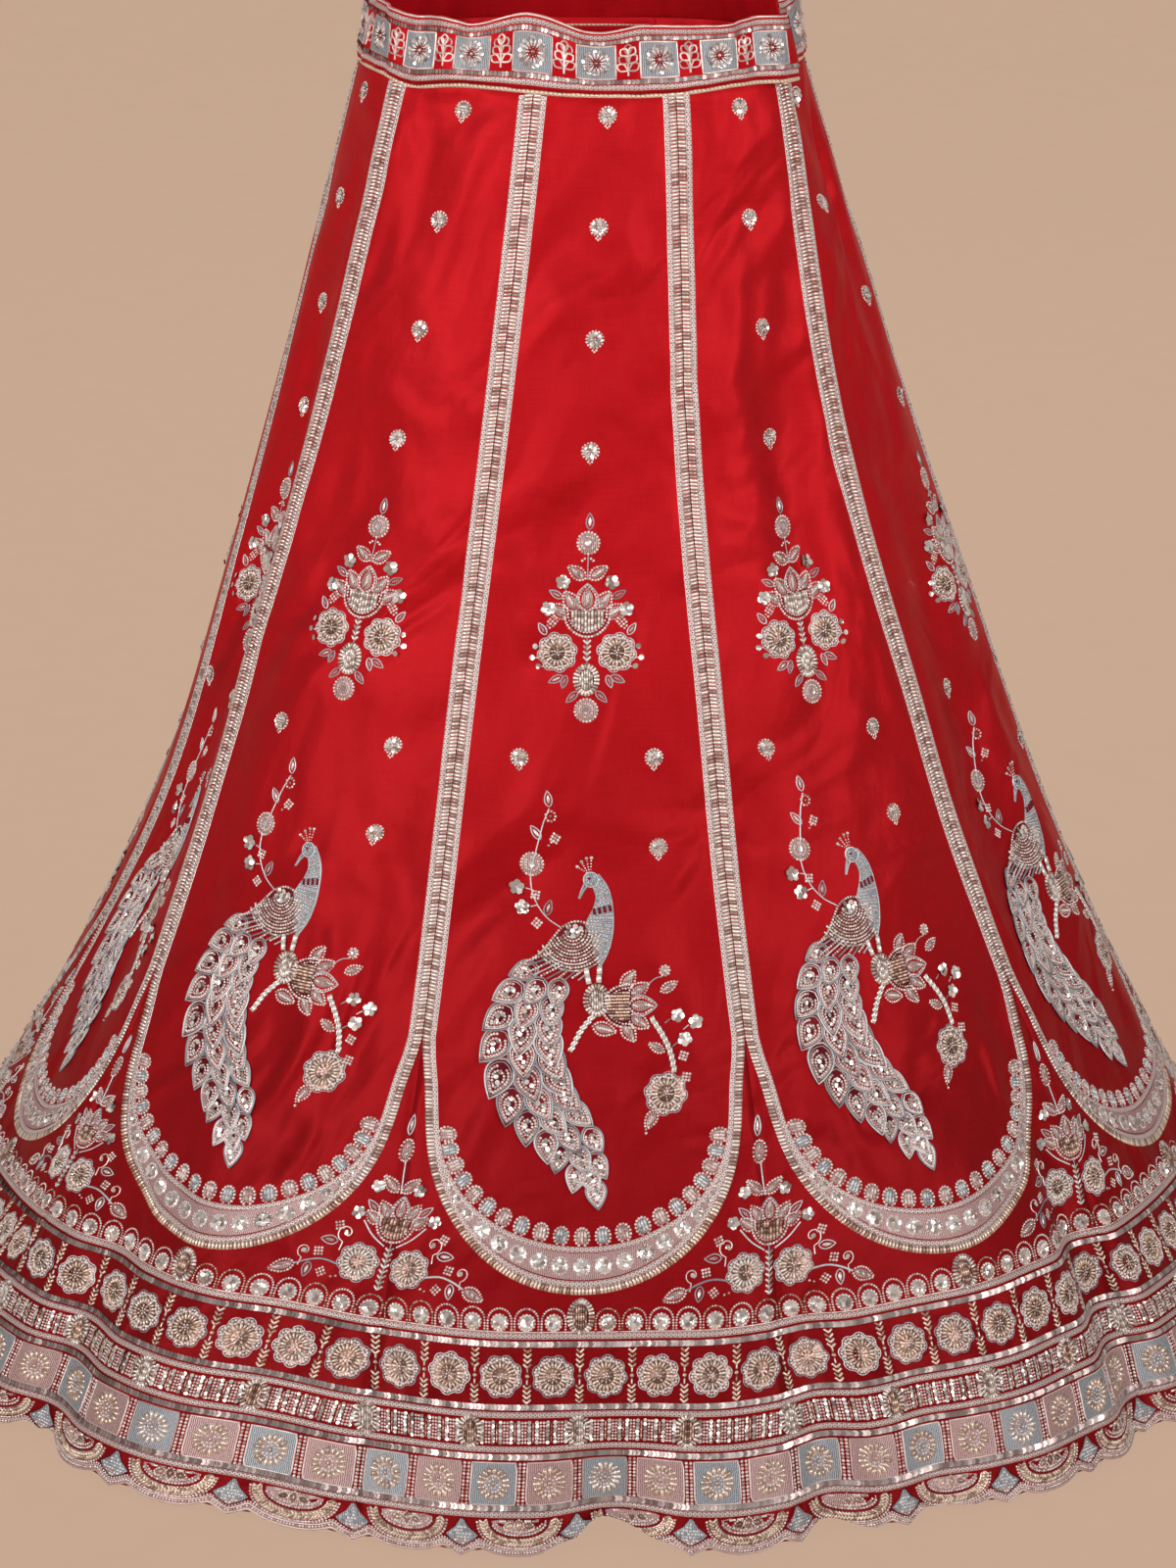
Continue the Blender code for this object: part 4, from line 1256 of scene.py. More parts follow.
def tail_scale(w, x, y, length, width, degrees):
    """One eye feather: two cords round rings of pearls and mirror sequins. Its tip stands clear of the next one."""
    put = partial(at, x, y, degrees)
    way = np.array([math.cos(math.radians(degrees)), math.sin(math.radians(degrees))])
    w.rise = lambda points: 0.1 + 1.5 * np.clip((points - [x, y]) @ way / length, 0.0, 1.0)
    outline = feather_outline(length, width, 11)
    middle = np.array([length * 0.5, 0.0])

    def inside(share):
        return middle + (outline - middle) * share

    w.plate(put(inside(0.94)), MAROON, 0.1, 1)
    w.cord(put(outline), 1.3, GREY, 0.9, loop=True)
    w.cord(put(inside(0.84)), 0.85, CORD, 0.8, loop=True)
    for share, radius, start in ((0.68, 1.15, 0.22), (0.42, 1.05, 0.28)):
        ring = evenly(inside(share) + [0.4, 0.0], 2.15)
        w.beads(put(ring[ring[:, 0] > start * length]), radius, lift=0.15)
    line = middle + np.array([[-0.16, 0.0], [-0.03, 0.05], [0.08, -0.03], [0.19, 0.01]]) * length
    w.sequins(put(line), (1.9, 2.0, 1.9, 1.4), lift=0.5, tilt=0.2)
    w.rise = None


TAIL_SPINE = ((-31.6, -24.9), (-43.4, -3.4), (-48.4, 18.0), (-47.7, 39.4), (-41.2, 57.3), (-29.8, 75.1), (-13.8, 93.0),
              (-4.8, 110.8), (3.4, 128.7), (4.4, 139.4))
TAIL_EXTENT = ((0, 0.13, 0.255, 0.37, 0.476, 0.59, 0.72, 0.83, 0.93), (20, 25, 29, 31, 30, 26, 23, 18, 9))
WING = ((-17, -60), (-10, -62.5), (-3, -61), (4, -57), (7, -49), (7, -38), (1, -30), (-8, -27), (-22, -27), (-36, -29),
        (-47, -30.5), (-39, -37.0), (-31, -43.5), (-26, -50.5))
WING_EDGE = ((-48, -31.9), (-39, -36.4), (-31.6, -43.1), (-27.1, -49.1), (-17.3, -59.6), (-10, -62.2), (-2, -60.8))
WING_STRINGS = (((-28.1, -39.7), (-48.6, -31.8)), ((-25.0, -35.0), (-43.9, -25.5)), ((-20.2, -30.9), (-34.4, -23.3)),
                ((-13.9, -28.7), (-21.8, -22.4)), ((-6.0, -27.1), (-12.4, -22.4)))
NECK_LEFT = ((2.1, -86.5), (4.3, -79.7), (2.8, -72.3), (-0.9, -64.8), (-3.0, -60.0), (1.0, -50.0), (2.0, -40.0))
NECK_RIGHT = ((5.8, -95.5), (11.8, -87.2), (14.8, -78.3), (16, -69.3), (15.2, -50.3), (12.4, -40.4), (7.0, -30.0))
VINE = ((-29, -141), (-33, -131), (-36, -120), (-38.5, -110), (-42, -94), (-41, -83), (-37, -73), (-30, -64),
        (-20.5, -57.6))


def peacock_tail(w):
    """Rows of eye feathers from the tip upwards, so that the upper ones lie over the lower."""
    spine = curve(TAIL_SPINE, 180)
    run = np.gradient(spine, axis=0)
    heading = np.degrees(np.arctan2(run[:, 1], run[:, 0]))
    lengths = travelled(spine)
    rows = [(share, lane) for lane in (-1, 1) for share in np.arange(0.035, 0.88, 0.0905)]
    rows += [(share, 0) for share in (*np.arange(0.080, 0.86, 0.0905), 0.885, 0.945)]
    for share, lane in sorted(rows, reverse=True):
        extent = float(np.interp(share, *TAIL_EXTENT))
        wide = min(20.5, max(14.5, extent * 0.68))
        long = wide * 1.52
        index = int(np.searchsorted(lengths, share * lengths[-1]))
        turn = heading[index] + (40 if lane < 0 else -20 * (1 - share) if lane else 6 * (1 - share))
        middle = at(*spine[index], heading[index], [0, -lane * (extent - wide / 2)])
        tail_scale(w, *at(*middle, turn, [-long / 2, 0]), long, wide, turn)


def peacock_wing(w):
    """Arcs of pearls and bugles about the shoulder, which run out in strings over the tail."""
    w.plate(WING, MAROON, 0.4, 2)
    hub = np.array([-12.4, -55.4])
    for index, radius in enumerate(np.arange(4.85, 28.6, 2.35)):
        step = math.degrees((2.1 if index % 2 else 3.4) / radius)
        angle = np.radians(np.arange(2.0, 172.0 - 0.85 * radius, step))
        ring = hub + oval(radius, radius, angle)
        kept = ring[:, 0] < 6.2
        if index % 2:
            w.beads(ring[kept], 0.98, lift=0.9)
        else:
            w.bugles(ring[kept], angle[kept] + TURN / 4, 3.2, 1.6, BUGLE, 1.5, 0.8)
    shoulder = [[0, 0], [3.6, 1.0], [-3.8, 1.6], [0.4, 3.4], [5.6, -1.6], [2.0, -3.0], [-2.6, -2.6]]
    w.sequins(hub + shoulder, 2.0, lift=1.2, tilt=0.2)
    w.beads(spaced(curve(WING_EDGE, 24), 2.2)[0], 1.0, lift=0.9)
    for start, end in WING_STRINGS:
        w.beads(spaced([start, end], 2.15)[0], 1.0, lift=1.6)
        w.cord([np.add(start, (3.0, 2.2)), np.add(end, (3.6, 2.0))], 1.1, GREY, 1.6, lift=0.6)


def peacock_neck_and_head(w):
    left, right = curve(NECK_LEFT, 26), curve(NECK_RIGHT, 26)
    w.band(left, right, GREY_NET, 0.5, 3)
    w.cord(left[:16], 1.1, GREY, 1.1)
    w.cord(right, 1.2, GREY, 1.1)
    for index in [i for i in range(1, 26) if i not in (9, 10)]:  # the collar takes rows 9 and 10
        n = max(2, int(float(np.linalg.norm(right[index] - left[index])) / 2.1))
        shares = (np.arange(n) + 0.75 - 0.5 * (index % 2)) / n
        row = left[index] + (right[index] - left[index]) * shares[:, None]
        w.beads(row, 0.8, ICE if index % 3 else PEARL, lift=0.45)
    start, end = (left[9] + left[10]) / 2, (right[9] + right[10]) / 2
    w.bugles(start + (end - start) * np.linspace(0.12, 0.88, 4)[:, None], math.radians(80), 4.6, 2.2, MAROON, 1.4, 0.6)
    head = circle(0.6, -91.6, 5.2, 14)
    w.plate(head, GREY_NET, 0.6, 1)
    w.cord(head, 1.0, GREY, 1.0, loop=True)
    w.beads(circle(0.8, -91.6, 3.1, 8), 0.8, ICE, lift=0.6)
    w.beads([[-0.6, -92.4]], 1.1, MAROON, lift=1.0)
    w.cord([(-3.4, -89.4), (-5.6, -84.5), (-7.6, -78.2)], 1.9, GREY, 1.1)
    w.cord([(-1.6, -87.4), (-4.4, -84.0), (-7.6, -78.2)], 1.3, ICE, 1.0)
    for tip in ((-9.0, -100.7), (-6.0, -104.2), (-2.4, -106.6), (1.0, -107.0)):
        w.beads(spaced([(-1.0 + 0.3 * (tip[0] + 4), -96.6), tip], 1.9)[0][:-1], 0.62)
        w.beads([tip], 1.35, BUGLE, lift=0.3)


def peacock_branch(w):
    """The bird's legs, and the flowering branch that it stands on."""
    legs = (-2.6, -26.0), (-1.6, -20.6), (6.4, -27.6), (6.0, -21.6)
    w.bugles(legs, (1.45, 1.35, 1.62, 1.6), 5.6, 3.8, SEQUIN, 2.0, 0.8, 1.0)
    sunburst(w, 4.3, -6.5, 9.8, 11.8, BUGLE)
    for path in ([(0.5, 6.0), (-6.5, 14.5), (-13.6, 27.9)], [(43.7, 8.2), (51.0, 20.0), (56.5, 33.0), (58.6, 44.0)]):
        line, turn = spaced(curve(path, 12), 4.6)
        w.cord(curve(path, 8), 3.6, MAROON, 0.4)
        for side in (-0.9, 0.9):
            w.bugles(line + side * xy(-np.sin(turn), np.cos(turn)), turn + 0.25, 4.6, 1.9, SEQUIN, 1.5, 0.4, 1.0)
    tulip(w, 26.5, -2.0, 35.0, 38.0, 90, COPPER)
    for x, y, r in ((61.4, 6.0, 5.4), (74.4, 11.2, 5.6), (66.5, 23.0, 5.6)):
        sequin_flower(w, x, y, r)
        w.cord([(x - 5, y + 2), (x - 9, y + 5)], 0.9, GREY, 0.6)
    bead_leaf(w, 51.5, 31.0, 12.5, 6.0, -150)
    cluster(w, 65.6, 35.0, 20, 1.12)
    bead_leaf(w, 45.5, 72.0, 15.0, 8.0, 118)
    w.beads([[43.0, 77.0], [40.2, 83.5], [38.6, 88.0]], 1.1)
    round_flower(w, 52.8, 60.6, 15.7, 10)
    cluster(w, 67.5, 50.0, 10, 1.12)
    bead_leaf(w, 50.0, -11.5, 13.0, 6.5, -28)
    bead_leaf(w, 1.5, 12.0, 17.0, 9.5, 14)
    w.cord(curve([(40, -16), (46, -21), (51, -22)], 8), 0.8, GREY, 0.5)
    ring_disc(w, 52.6, -26.0, 4.4)


def peacock_vine(w):
    """The vine behind the bird's head."""
    w.cord(curve(VINE, 40), 1.0, GREY, 0.7)
    leaf(w, -29.0, -142.5, 11.5, 5.4, -97)
    w.beads(circle(-28.0, -135.6, 3.6, 9), 0.98)
    w.beads([[-28.0, -135.6]], 1.2, COPPER)
    leaf(w, -35.0, -119.5, 11.5, 5.2, -128)
    cluster(w, -24.6, -120.4, 30, 1.12)
    w.beads([[-27.2, -117.6], [-29.2, -115.4]], 0.9)
    ring_disc(w, -41.0, -102.0, 8.8)
    sequin_flower(w, -51.6, -85.4, 5.8)
    sequin_flower(w, -47.8, -71.4, 5.8)
    w.cord([(-45.4, -85), (-41.8, -84)], 0.8, GREY, 0.5)
    w.cord([(-42, -72), (-37.5, -73)], 0.8, GREY, 0.5)
    cluster(w, -38.6, -80.4, 10, 1.12)
    cluster(w, -37.6, -60.4, 40, 1.12)
    leaf(w, -31.0, -66.0, 11.5, 5.4, -74)


def peacock(w, x, length):
    """A peacock looking back over its shoulder on a flowering branch, its long tail hanging down."""
    w.place(METRIC, x, length)
    for part in (peacock_tail, peacock_wing, peacock_neck_and_head, peacock_branch, peacock_vine):
        part(w)


# ---------------------------------------------------------------- the layout of one panel

ARC_CENTRE = 735.0  # the length at which the arched border is widest
ARC_OUT = (112.5, 112.2)  # half of the arch's width, and its depth, at the seam
CRESCENT_IN, CRESCENT_OUT = 80.5, 104.6  # depths of the crescent's two edges
SQUARES_FROM, SQUARES_TO = 962.9, 991.7  # the lengths between which the hem's squares lie
SCALLOPS_FROM = 1001.6  # the length at which the scallops' own work starts


def mm(drop):
    return float(length_at(drop)) * 1000


def half(length):
    """Half of panel 0's width at a length, both in mm."""
    return width_of(0, drop_at(np.asarray(length, float) / 1000)) / 2 * 1000


def across(share, length):
    return (2 * np.asarray(share, float) - 1) * half(length)


def column_x(index, count, length):
    """The x of one of count even places across the panel."""
    return float(across(index / count, length))


def ellipse(wide, deep, *degrees):
    """Points of an ellipse about the arch's centre: start, end and count, or one point."""
    return [0, ARC_CENTRE] + oval(wide, deep, np.radians(np.linspace(*degrees) if len(degrees) > 1 else degrees[0]))


def border_path(inset):
    """Down the left seam, round the arch and up the right seam, inset from the seams."""
    down = np.arange(3.5, 672.0, 4.0)
    seam = xy(-(half(down) - inset), down)
    wide, deep = ARC_OUT[0] - inset, ARC_OUT[1] - inset
    arc = ellipse(wide, deep, 174, 90, 40)
    join = curve([seam[-4], seam[-1], (-(wide + 1.6), 703.0), arc[0], arc[3]], 24)[6:-6]
    left = np.concatenate([seam, join[(join[:, 1] > seam[-1, 1] + 3) & (join[:, 1] < arc[0, 1] - 2)], arc])
    return np.concatenate([left, left[-2::-1] * [-1, 1]])


def border(w):
    """The strips beside the seams, which run on round the arch, with the crescent and the ringed ovals inside."""
    w.place(SEAMED)
    points, heading = spaced(border_path(3.1), 2.6)
    low = points[:, 1] > 770 + 30 * rng.random(len(points))
    for slot, part in ((BUGLE, ~low), (GOLD, low)):
        w.bugles(points[part], heading[part] + TURN / 4, 5.4, 2.3, slot, 1.4, 0.1)
    w.chain(border_path(7.8), 4.0, 3.3)
    seam = np.arange(4.0, 690.0, 4.0)
    # painted shadow: a dark maroon cord laid along the seam line stands in for the seam's shadow
    w.cord(xy(half(seam), seam), 1.5, MAROON, 0.3)
    w.place(STRETCHED)
    w.chain(ellipse(104.5, CRESCENT_IN, 176, 4, 90), 3.9, 3.3, height=0.85)
    w.band(ellipse(102.8, 101.5, 172, 8, 60), ellipse(103.4, 83.0, 172, 8, 60), PINK_NET, 0.4, 3)
    wide, deep = 103.6, 92.4
    for side in (-1, 1):
        angle = 90.0
        while angle > 14:
            c, s = math.cos(math.radians(angle)), math.sin(math.radians(angle))
            r = min(6.5, max(1.3, ((CRESCENT_OUT - CRESCENT_IN) * s - 4.8) / 2))
            if side > 0 or angle < 90:
                rosette(w, *ellipse(wide, deep, 90 - side * (90 - angle)), r)
            angle -= math.degrees((2 * r + 2.3) / math.hypot(wide * s, deep * c))
    wide, deep = 97.0, 71.6
    for index in range(21):
        degrees = 3.0 + index * 174.0 / 20
        turn = math.radians(degrees)
        out = math.degrees(math.atan2(math.sin(turn) * wide, math.cos(turn) * deep))
        ringed_oval(w, *ellipse(wide, deep, degrees), out, GREY_NET if index % 2 else PINK_NET)


def rosette(w, x, y, r):
    """A silvery round of sequins, ringed with fine pearls."""
    w.plate(circle(x, y, r, 14), SEQUIN, 0.6, 1)
    if r > 2.5:
        w.beads(circle(x, y, r * 0.88, int(r * 2.7), 10), 0.88, lift=0.4)
        w.sequins(circle(x, y, r * 0.50, 6, rng.random() * 40), r * 0.30, lift=0.8, tilt=0.25)
    w.beads([[x, y]], 1.0, lift=1.1)


def ringed_oval(w, x, y, degrees, slot):
    """A small net oval ringed with pearls, standing on the chain. degrees points at the chain."""
    put = partial(at, x, y, degrees)
    w.beads(put(oval(6.3, 5.0, np.radians(np.linspace(26, 334, 14)))), 1.1)
    w.plate(put(oval(5.4, 4.1, TWELFTHS)), slot, 0.45, 1)
    for row in (-2.1, 0.0, 2.1):
        w.bugles(put([[-1.9, row], [2.0, row * 1.1]]), math.radians(degrees), 3.7, 1.7,
                 ICE if slot == GREY_NET else PEARL, lift=0.45)


def coin(w, x, y):
    """A beaded coin under a horseshoe of fine beads."""
    middle = y + 0.6
    w.plate(circle(x, middle, 5.0, 12), SEQUIN, 0.4, 1)
    w.beads(circle(x, middle, 5.4, 15, 6), 1.18)
    w.sequins(circle(x, middle, 2.4, 5, rng.random() * 60), 1.8, lift=0.6, tilt=0.35)
    w.beads([[x, middle]], 0.9, BUGLE, lift=1.0)
    arch = oval(8.3, 8.4, np.radians(np.linspace(180, 360, 13))) - [0, 0.9]
    arch = np.concatenate([[(-8.3, 7.0), (-8.4, 2.4)], arch, [(8.4, 2.4), (8.3, 7.0)]])
    w.beads(spaced(arch, 1.95)[0] + [x, y], 0.85, COPPER if rng.random() < 0.4 else PEARL)


def hem_square(w, index):
    """A net square in a cord frame, with a round burst on it, and the pearls at its left."""
    top, low = SQUARES_FROM, SQUARES_TO
    edges = []
    for length in (top, low):
        centre, reach = across((index + 0.5) / 8, length), half(length) / 8 - 3.7
        edges.append(xy(centre + np.linspace(-1, 1, 9) * reach, length))
    w.band(*edges, PINK_NET if index % 2 else GREY_NET, 0.35, 6)
    w.cord(evenly(np.concatenate([edges[0], edges[1][::-1]]), 5.0), 1.2, CORD, 0.9, loop=True)
    round_burst(w, float(edges[0][4, 0] + edges[1][4, 0]) / 2, (top + low) / 2, 11.8)
    rows = np.arange(top + 0.8, low, 2.5)
    for side in (-1, 1):
        w.beads(xy(across(index / 8, rows) + side * 1.55, rows), 1.2)


def hem_rows(w):
    """The rows between the arches and the scallops, from the coins down to the squares."""
    w.place(STRETCHED)
    share = np.linspace(0, 1, 84)

    def line(length):
        return xy(across(share, length), length)

    sunburst(w, 0, 862.2, 9.8, 13.0, count=26)
    for index in [i for i in range(15) if i != 7]:
        coin(w, column_x(index + 0.5, 15, 865.5), 865.6)
    for length in (875.4, 930.0, 953.6, 998.4):
        w.chain(line(length), 4.0, 3.2)
    w.cord(line(872.6), 0.9, CORD, 0.7)
    for length in (881.2, 924.8, 959.0, 993.9):
        w.sequin_row(line(length))
    for index in range(8):
        x = column_x(index + 0.5, 8, 903.4)
        round_flower(w, x, 903.4, 15.2, rng.random() * 45, GOLD if index % 3 else BUGLE)
        x = column_x(index, 8, 903.4)
        chevrons(w, x, 896.0, 4, 3.5, 4.0, True, GOLD)
        w.beads([[x, 903.0]], 1.6, COPPER)
        w.bugles([[x, 907.2]], TURN / 4, 3.6, 1.2, BUGLE, 0.9)
        chevrons(w, x, 920.6, 4, 3.3, 4.0, slot=GOLD)
    y = 942.0
    for index in range(24):
        x = column_x(index, 24, y)
        if index % 6 == 0:
            sunburst(w, x, y, 9.2, 12.0, COPPER if index % 12 else BUGLE, 22)
            continue
        for dx in (-1.1, 1.1):
            w.beads(xy(x + dx, y - 6.75 + np.arange(7) * 2.25), 1.0)
        for dx in (-3.7, 3.7):
            w.sequins(xy(x + dx, y - 6.75 + np.arange(6) * 2.7), 1.5, lift=0.25, tilt=0.2)
        if index % 6 < 5:
            x = column_x(index + 0.5, 24, y)
            w.bugles([[x, y - 4.5], [x, y], [x, y + 4.5]], TURN / 4, 4.4, 1.0, COPPER, 0.8)
    for index in range(8):
        hem_square(w, index)


def teardrop(w, x, y, long, degrees):
    """A coppery drop edged with fine pearls. It points along degrees."""
    outline = feather_outline(long, long * 0.56, 7)
    w.plate(at(x, y, degrees, outline), COPPER, 0.8, 1)
    w.beads(at(x, y, degrees, evenly(outline * [1.25, 1.5] - [long * 0.1, 0], 1.95)), 0.85, lift=0.2)


def scallop(w, centre):
    """Herringbone arcs round a spray of pearls and drops."""
    top = SCALLOPS_FROM
    angle = np.radians(np.linspace(5, 175, 23))

    def arc(wide, deep):
        return xy(centre + wide * np.cos(angle), top - 1.5 + deep * np.sin(angle) ** 0.72)

    w.beads(spaced(arc(29.9, 21.4), 2.2)[0], 1.0, lift=0.2)
    w.band(arc(28.7, 20.2), arc(22.2, 14.6), COPPER, 0.15, 1)
    for wide, deep, lean in ((26.9, 18.8, 0.75), (24.1, 16.0, -0.75)):
        points, turn = spaced(arc(wide, deep), 2.3)
        w.bugles(points, turn + TURN / 4 + lean, 3.6, 1.7, GOLD, 1.2, 0.25)
    w.cord(arc(21.4, 13.9), 1.1, MAROON, 0.9)
    flat_top = [[centre - 14, top - 0.3], [centre + 14, top - 0.3]]
    w.plate(np.concatenate([arc(20.2, 12.8), flat_top]), PINK_NET, 0.1, 1)
    for wide, deep, radius in ((19.6, 12.2, 1.0), (17.2, 10.0, 0.9)):
        w.beads(spaced(arc(wide, deep)[2:-2], 2.1)[0], radius, lift=0.2)
    for s in (-1, 1):
        teardrop(w, centre + s * 4.0, top + 3.6, 6.6, 90 - s * 74)
        w.bugles([[centre + s * 6.0, top + 0.9], [centre + s * 11.5, top + 1.2]], 0.0, 4.6, 1.6, BUGLE, 1.0)
        w.beads([[centre + s * x, top + y] for x, y in ((7.6, 7.6), (10.0, 6.9), (5.4, 8.2))], 0.9)
    teardrop(w, centre, top + 0.8, 7.4, 90)


def bead_fan(w, x):
    """The shield of pale beads between two scallops."""
    foot = SCALLOPS_FROM - 0.8
    right = np.array([(1.2, 0.8), (5.0, 6.5), (12.0, 11.8), (8.5, 15.6), (3.0, 18.4)])
    shield = np.concatenate([right * [-1, 1], [(0, 20.0)], right[::-1]]) + [x, foot]
    w.plate(shield, GREY_NET, 0.3, 2)
    w.cord(shield, 1.0, MAROON, 0.9, loop=True)
    for row, count in ((4.6, 1), (6.9, 3), (9.2, 5), (11.4, 8), (13.6, 7), (15.8, 5), (17.7, 2)):
        places = x + (np.arange(count) - (count - 1) / 2) * 2.3
        w.beads(xy(places, foot + row), 1.15, PEARL if row > 14 else ICE, lift=0.3)


def scallops(w):
    """The scalloped edge: cord and pearls along it, and the scallops with the fans between them."""
    w.place(STRETCHED)
    share = np.linspace(0, 1, SCALLOPS * 36 + 1)
    edge_length = np.array([mm(SKIRT_DROP - rise) for rise in scallop_rise(share)])

    def hem_line(inset):
        return xy(across(share, edge_length - inset), edge_length - inset)

    w.cord(hem_line(0.5), 2.4, CORD, 1.0, tone=0.2)
    w.beads(spaced(hem_line(2.6), 2.1)[0], 1.08)
    w.cord(hem_line(4.2), 1.3, CORD, 0.9)
    w.beads(spaced(hem_line(5.7), 2.1)[0], 0.85)
    for index in range(SCALLOPS):
        scallop(w, column_x(index + 0.5, SCALLOPS, 1012))
        bead_fan(w, column_x(index, SCALLOPS, 1012))


def curl(w, x, y, side, size=1.0):
    """A tendril ending in a curl with a sequin in it."""
    t = np.linspace(0, 1, 12)
    turn = math.radians(80) - t * math.radians(330)
    reach = (7.0 - 5.0 * t) * size
    path = xy(x + side * (reach * np.cos(turn) - 2), y - 9 * size + reach * np.sin(turn))
    w.cord(np.concatenate([[(x, y + 4)], path]), 0.9, CORD, 0.7)
    w.sequins([[x - side * 2, y - 9 * size]], 1.9)


def spandrel(w):
    """The flower spray that fills the space between two arches, on the seam at the panel's right."""
    w.place(STRETCHED)
    seam = {y: float(half(y)) for y in (742, 753, 761, 778, 784, 810)}
    leaf(w, seam[742], 742, 15, 4.2, -90)
    x = seam[753]
    w.plate([x, 753] + oval(3.6, 6.6, TWELFTHS), PINK_NET, 0.3, 1)
    w.beads([x, 753] + oval(4.6, 7.8, np.arange(16) * TURN / 16), 1.0)
    w.bugles([[x, 750], [x, 756]], TURN / 4, 4.6, 1.9, SEQUIN, 1.2, 0.4)
    base = seam[810]
    w.cord([(seam[761], 761), (seam[784], 784)], 0.9, GREY, 0.6)
    for s in (-1, 1):
        x = seam[778]
        bead_leaf(w, x + s * 1.6, 783, 15.5, 7.4, -90 + s * 46)
        sequin_flower(w, x + s * 14.6, 780.5, 4.9)
        leaf(w, base + s * 14.0, 799, 12.0, 5.0, -90 + s * 48)
        sequin_flower(w, base + s * 27.0, 801.0, 5.0)
        w.cord(curve([(base + s * 4, 822), (base + s * 14, 815), (base + s * 22, 806)], 8), 1.2, GREY, 0.6)
        round_flower(w, base + s * 18.0, 836.0, 14.4, s * 11)
        curl(w, base + s * 33.0, 826.0, s)
        cluster(w, base + s * 37.2, 812.5, s * 20)
        leaf(w, base + s * 35.5, 824.0, 12.0, 6.2, 0 if s > 0 else 180)
        cluster(w, base + s * 46.5, 833.4, s * 10)
        branch = [(base + s * x, y) for x, y in ((31, 840), (42, 838.4), (52, 841), (60, 845))]
        w.cord(curve(branch, 10), 1.5, GREY, 0.8)
        curl(w, base + s * 58.0, 842.0, s, 0.8)
        cluster(w, base + s * 41.0, 847.6, s * 35, 0.97)
        leaf(w, base + s * 50.5, 842.5, 11.0, 5.8, 90 - s * 8)
        bead_leaf(w, base + s * 60.5, 845.0, 17.5, 8.8, 90 - s * 66)
        w.beads([[base + s * 30.0, 848.5], [base + s * 33.2, 849.5]], 0.9)
    tulip(w, base, 803.0, 31.0, 33.0, 0, COPPER)
    w.cord([(base, 817), (base, 853)], 0.9, GREY, 0.6)
    chevrons(w, base, 851.5, 8, 3.9, 3.9)


BOOTIS = ((0.002, 0.0165), (-0.001, 0.0951), (0.0, 0.1738), (0.0, 0.2529), (-0.0475, 0.4695), (0.048, 0.4695),
          (0.0515, 0.533))


def lay_out_panel():
    w = Flatwork()
    for part in (border, spandrel, hem_rows, scallops):
        part(w)
    for x, length in BOOTIS:
        booti(w, x, length)
    bouquet(w, 0.0, 0.3690)
    peacock(w, 0.0030, 0.6462)
    return w


def sew_on(name, arrays, points):
    faces, slots, tones, uvs = arrays[2:6]
    piece = make_mesh(name, points, [faces], TRIM, slots=slots, uv=uvs, tone=tones)
    piece.data.validate()
    return dress(piece, "zari_embroidery")


layout = lay_out_panel().arrays()
beadwork = []
for panel in range(PANELS):
    sewn = on_panel(panel, layout[0], layout[1], layout[6], layout[7])
    beadwork.append(sew_on(f"beadwork_kali_{panel + 1:02d}", layout, sewn))
print("triangles in a panel's beadwork", len(layout[2]))

# ---------------------------------------------------------------- the waistband and its piping

BELT_CLOTH = 0.0016
BELT_PITCH = 46.0  # mm from one square to the next
BELT_MIDDLE_ANGLE = 2.0  # the front belt's middle square
# The lines of the belt's work, in mm above its lower edge.
LOW_CHAIN, LOW_SEQUINS, SQUARE_LOW = 4.4, 8.6, 11.0
SQUARE_TOP, TOP_SEQUINS, TOP_CHAIN, BELT_EDGE = 35.6, 38.2, 42.4, 46.3


def belt_angles(is_front, count):
    first, last = FRONT_BAND_ANGLES if is_front else BACK_BAND_ANGLES
    gap = 0.0 if is_front else math.degrees(SEAM_GAP / SECTION_HALF_WIDTH[0])
    return np.linspace(first, last - gap, count)


def outward_at(angles):
    turn = np.radians(angles)
    return np.stack([np.sin(turn), -np.cos(turn), 0 * turn], -1)


def make_belt(is_front):
    """The belt's cloth, a little crumpled: the piece, its outer face and the length along its middle."""
    side = "front" if is_front else "back"
    angles, heights = np.meshgrid(belt_angles(is_front, 181), np.linspace(BAND_HEIGHT, 0.0, 10))
    turn = np.radians(angles)
    crumple = 0.0006 * np.sin(turn * 37 + heights * 60) + 0.0004 * np.sin(turn * 61 + 1.3 - heights * 90)
    outward = outward_at(angles)
    outer = band_surface(angles, heights, is_front) + outward * crumple[..., None]
    run = travelled(outer[len(outer) // 2])
    uv = xy(run, np.linspace(0, BAND_HEIGHT, len(outer))[:, None]).reshape(-1, 2)
    name = "waistband_" + side
    return cloth_piece("cloth_" + name, outer, outward, BELT_CLOTH, uv, name, "zari_embroidery"), outer, run


def sprig(w, x, y, tall=21.0):
    """A leafy sprig of looped zari cord."""
    w.cord([(x, y + tall / 2), (x, y - tall / 2 + 5)], 1.4, CORD, 1.0)
    for index, rise in enumerate((0.33, 0.08, -0.17)):
        for side in (-1, 1):
            outline = leaf_outline(9.0 - index * 0.8, 5.6, 9, 0.62)
            w.cord(at(x, y + rise * tall, -90 + side * (60 - index * 8), outline), 1.35, CORD, 1.0, loop=True)
    w.cord(at(x, y - tall * 0.20, -90, leaf_outline(8.0, 5.4, 9, 0.6)), 1.35, CORD, 1.0, loop=True)
    w.beads([[x, y + tall / 2 - 1.0]], 0.9)


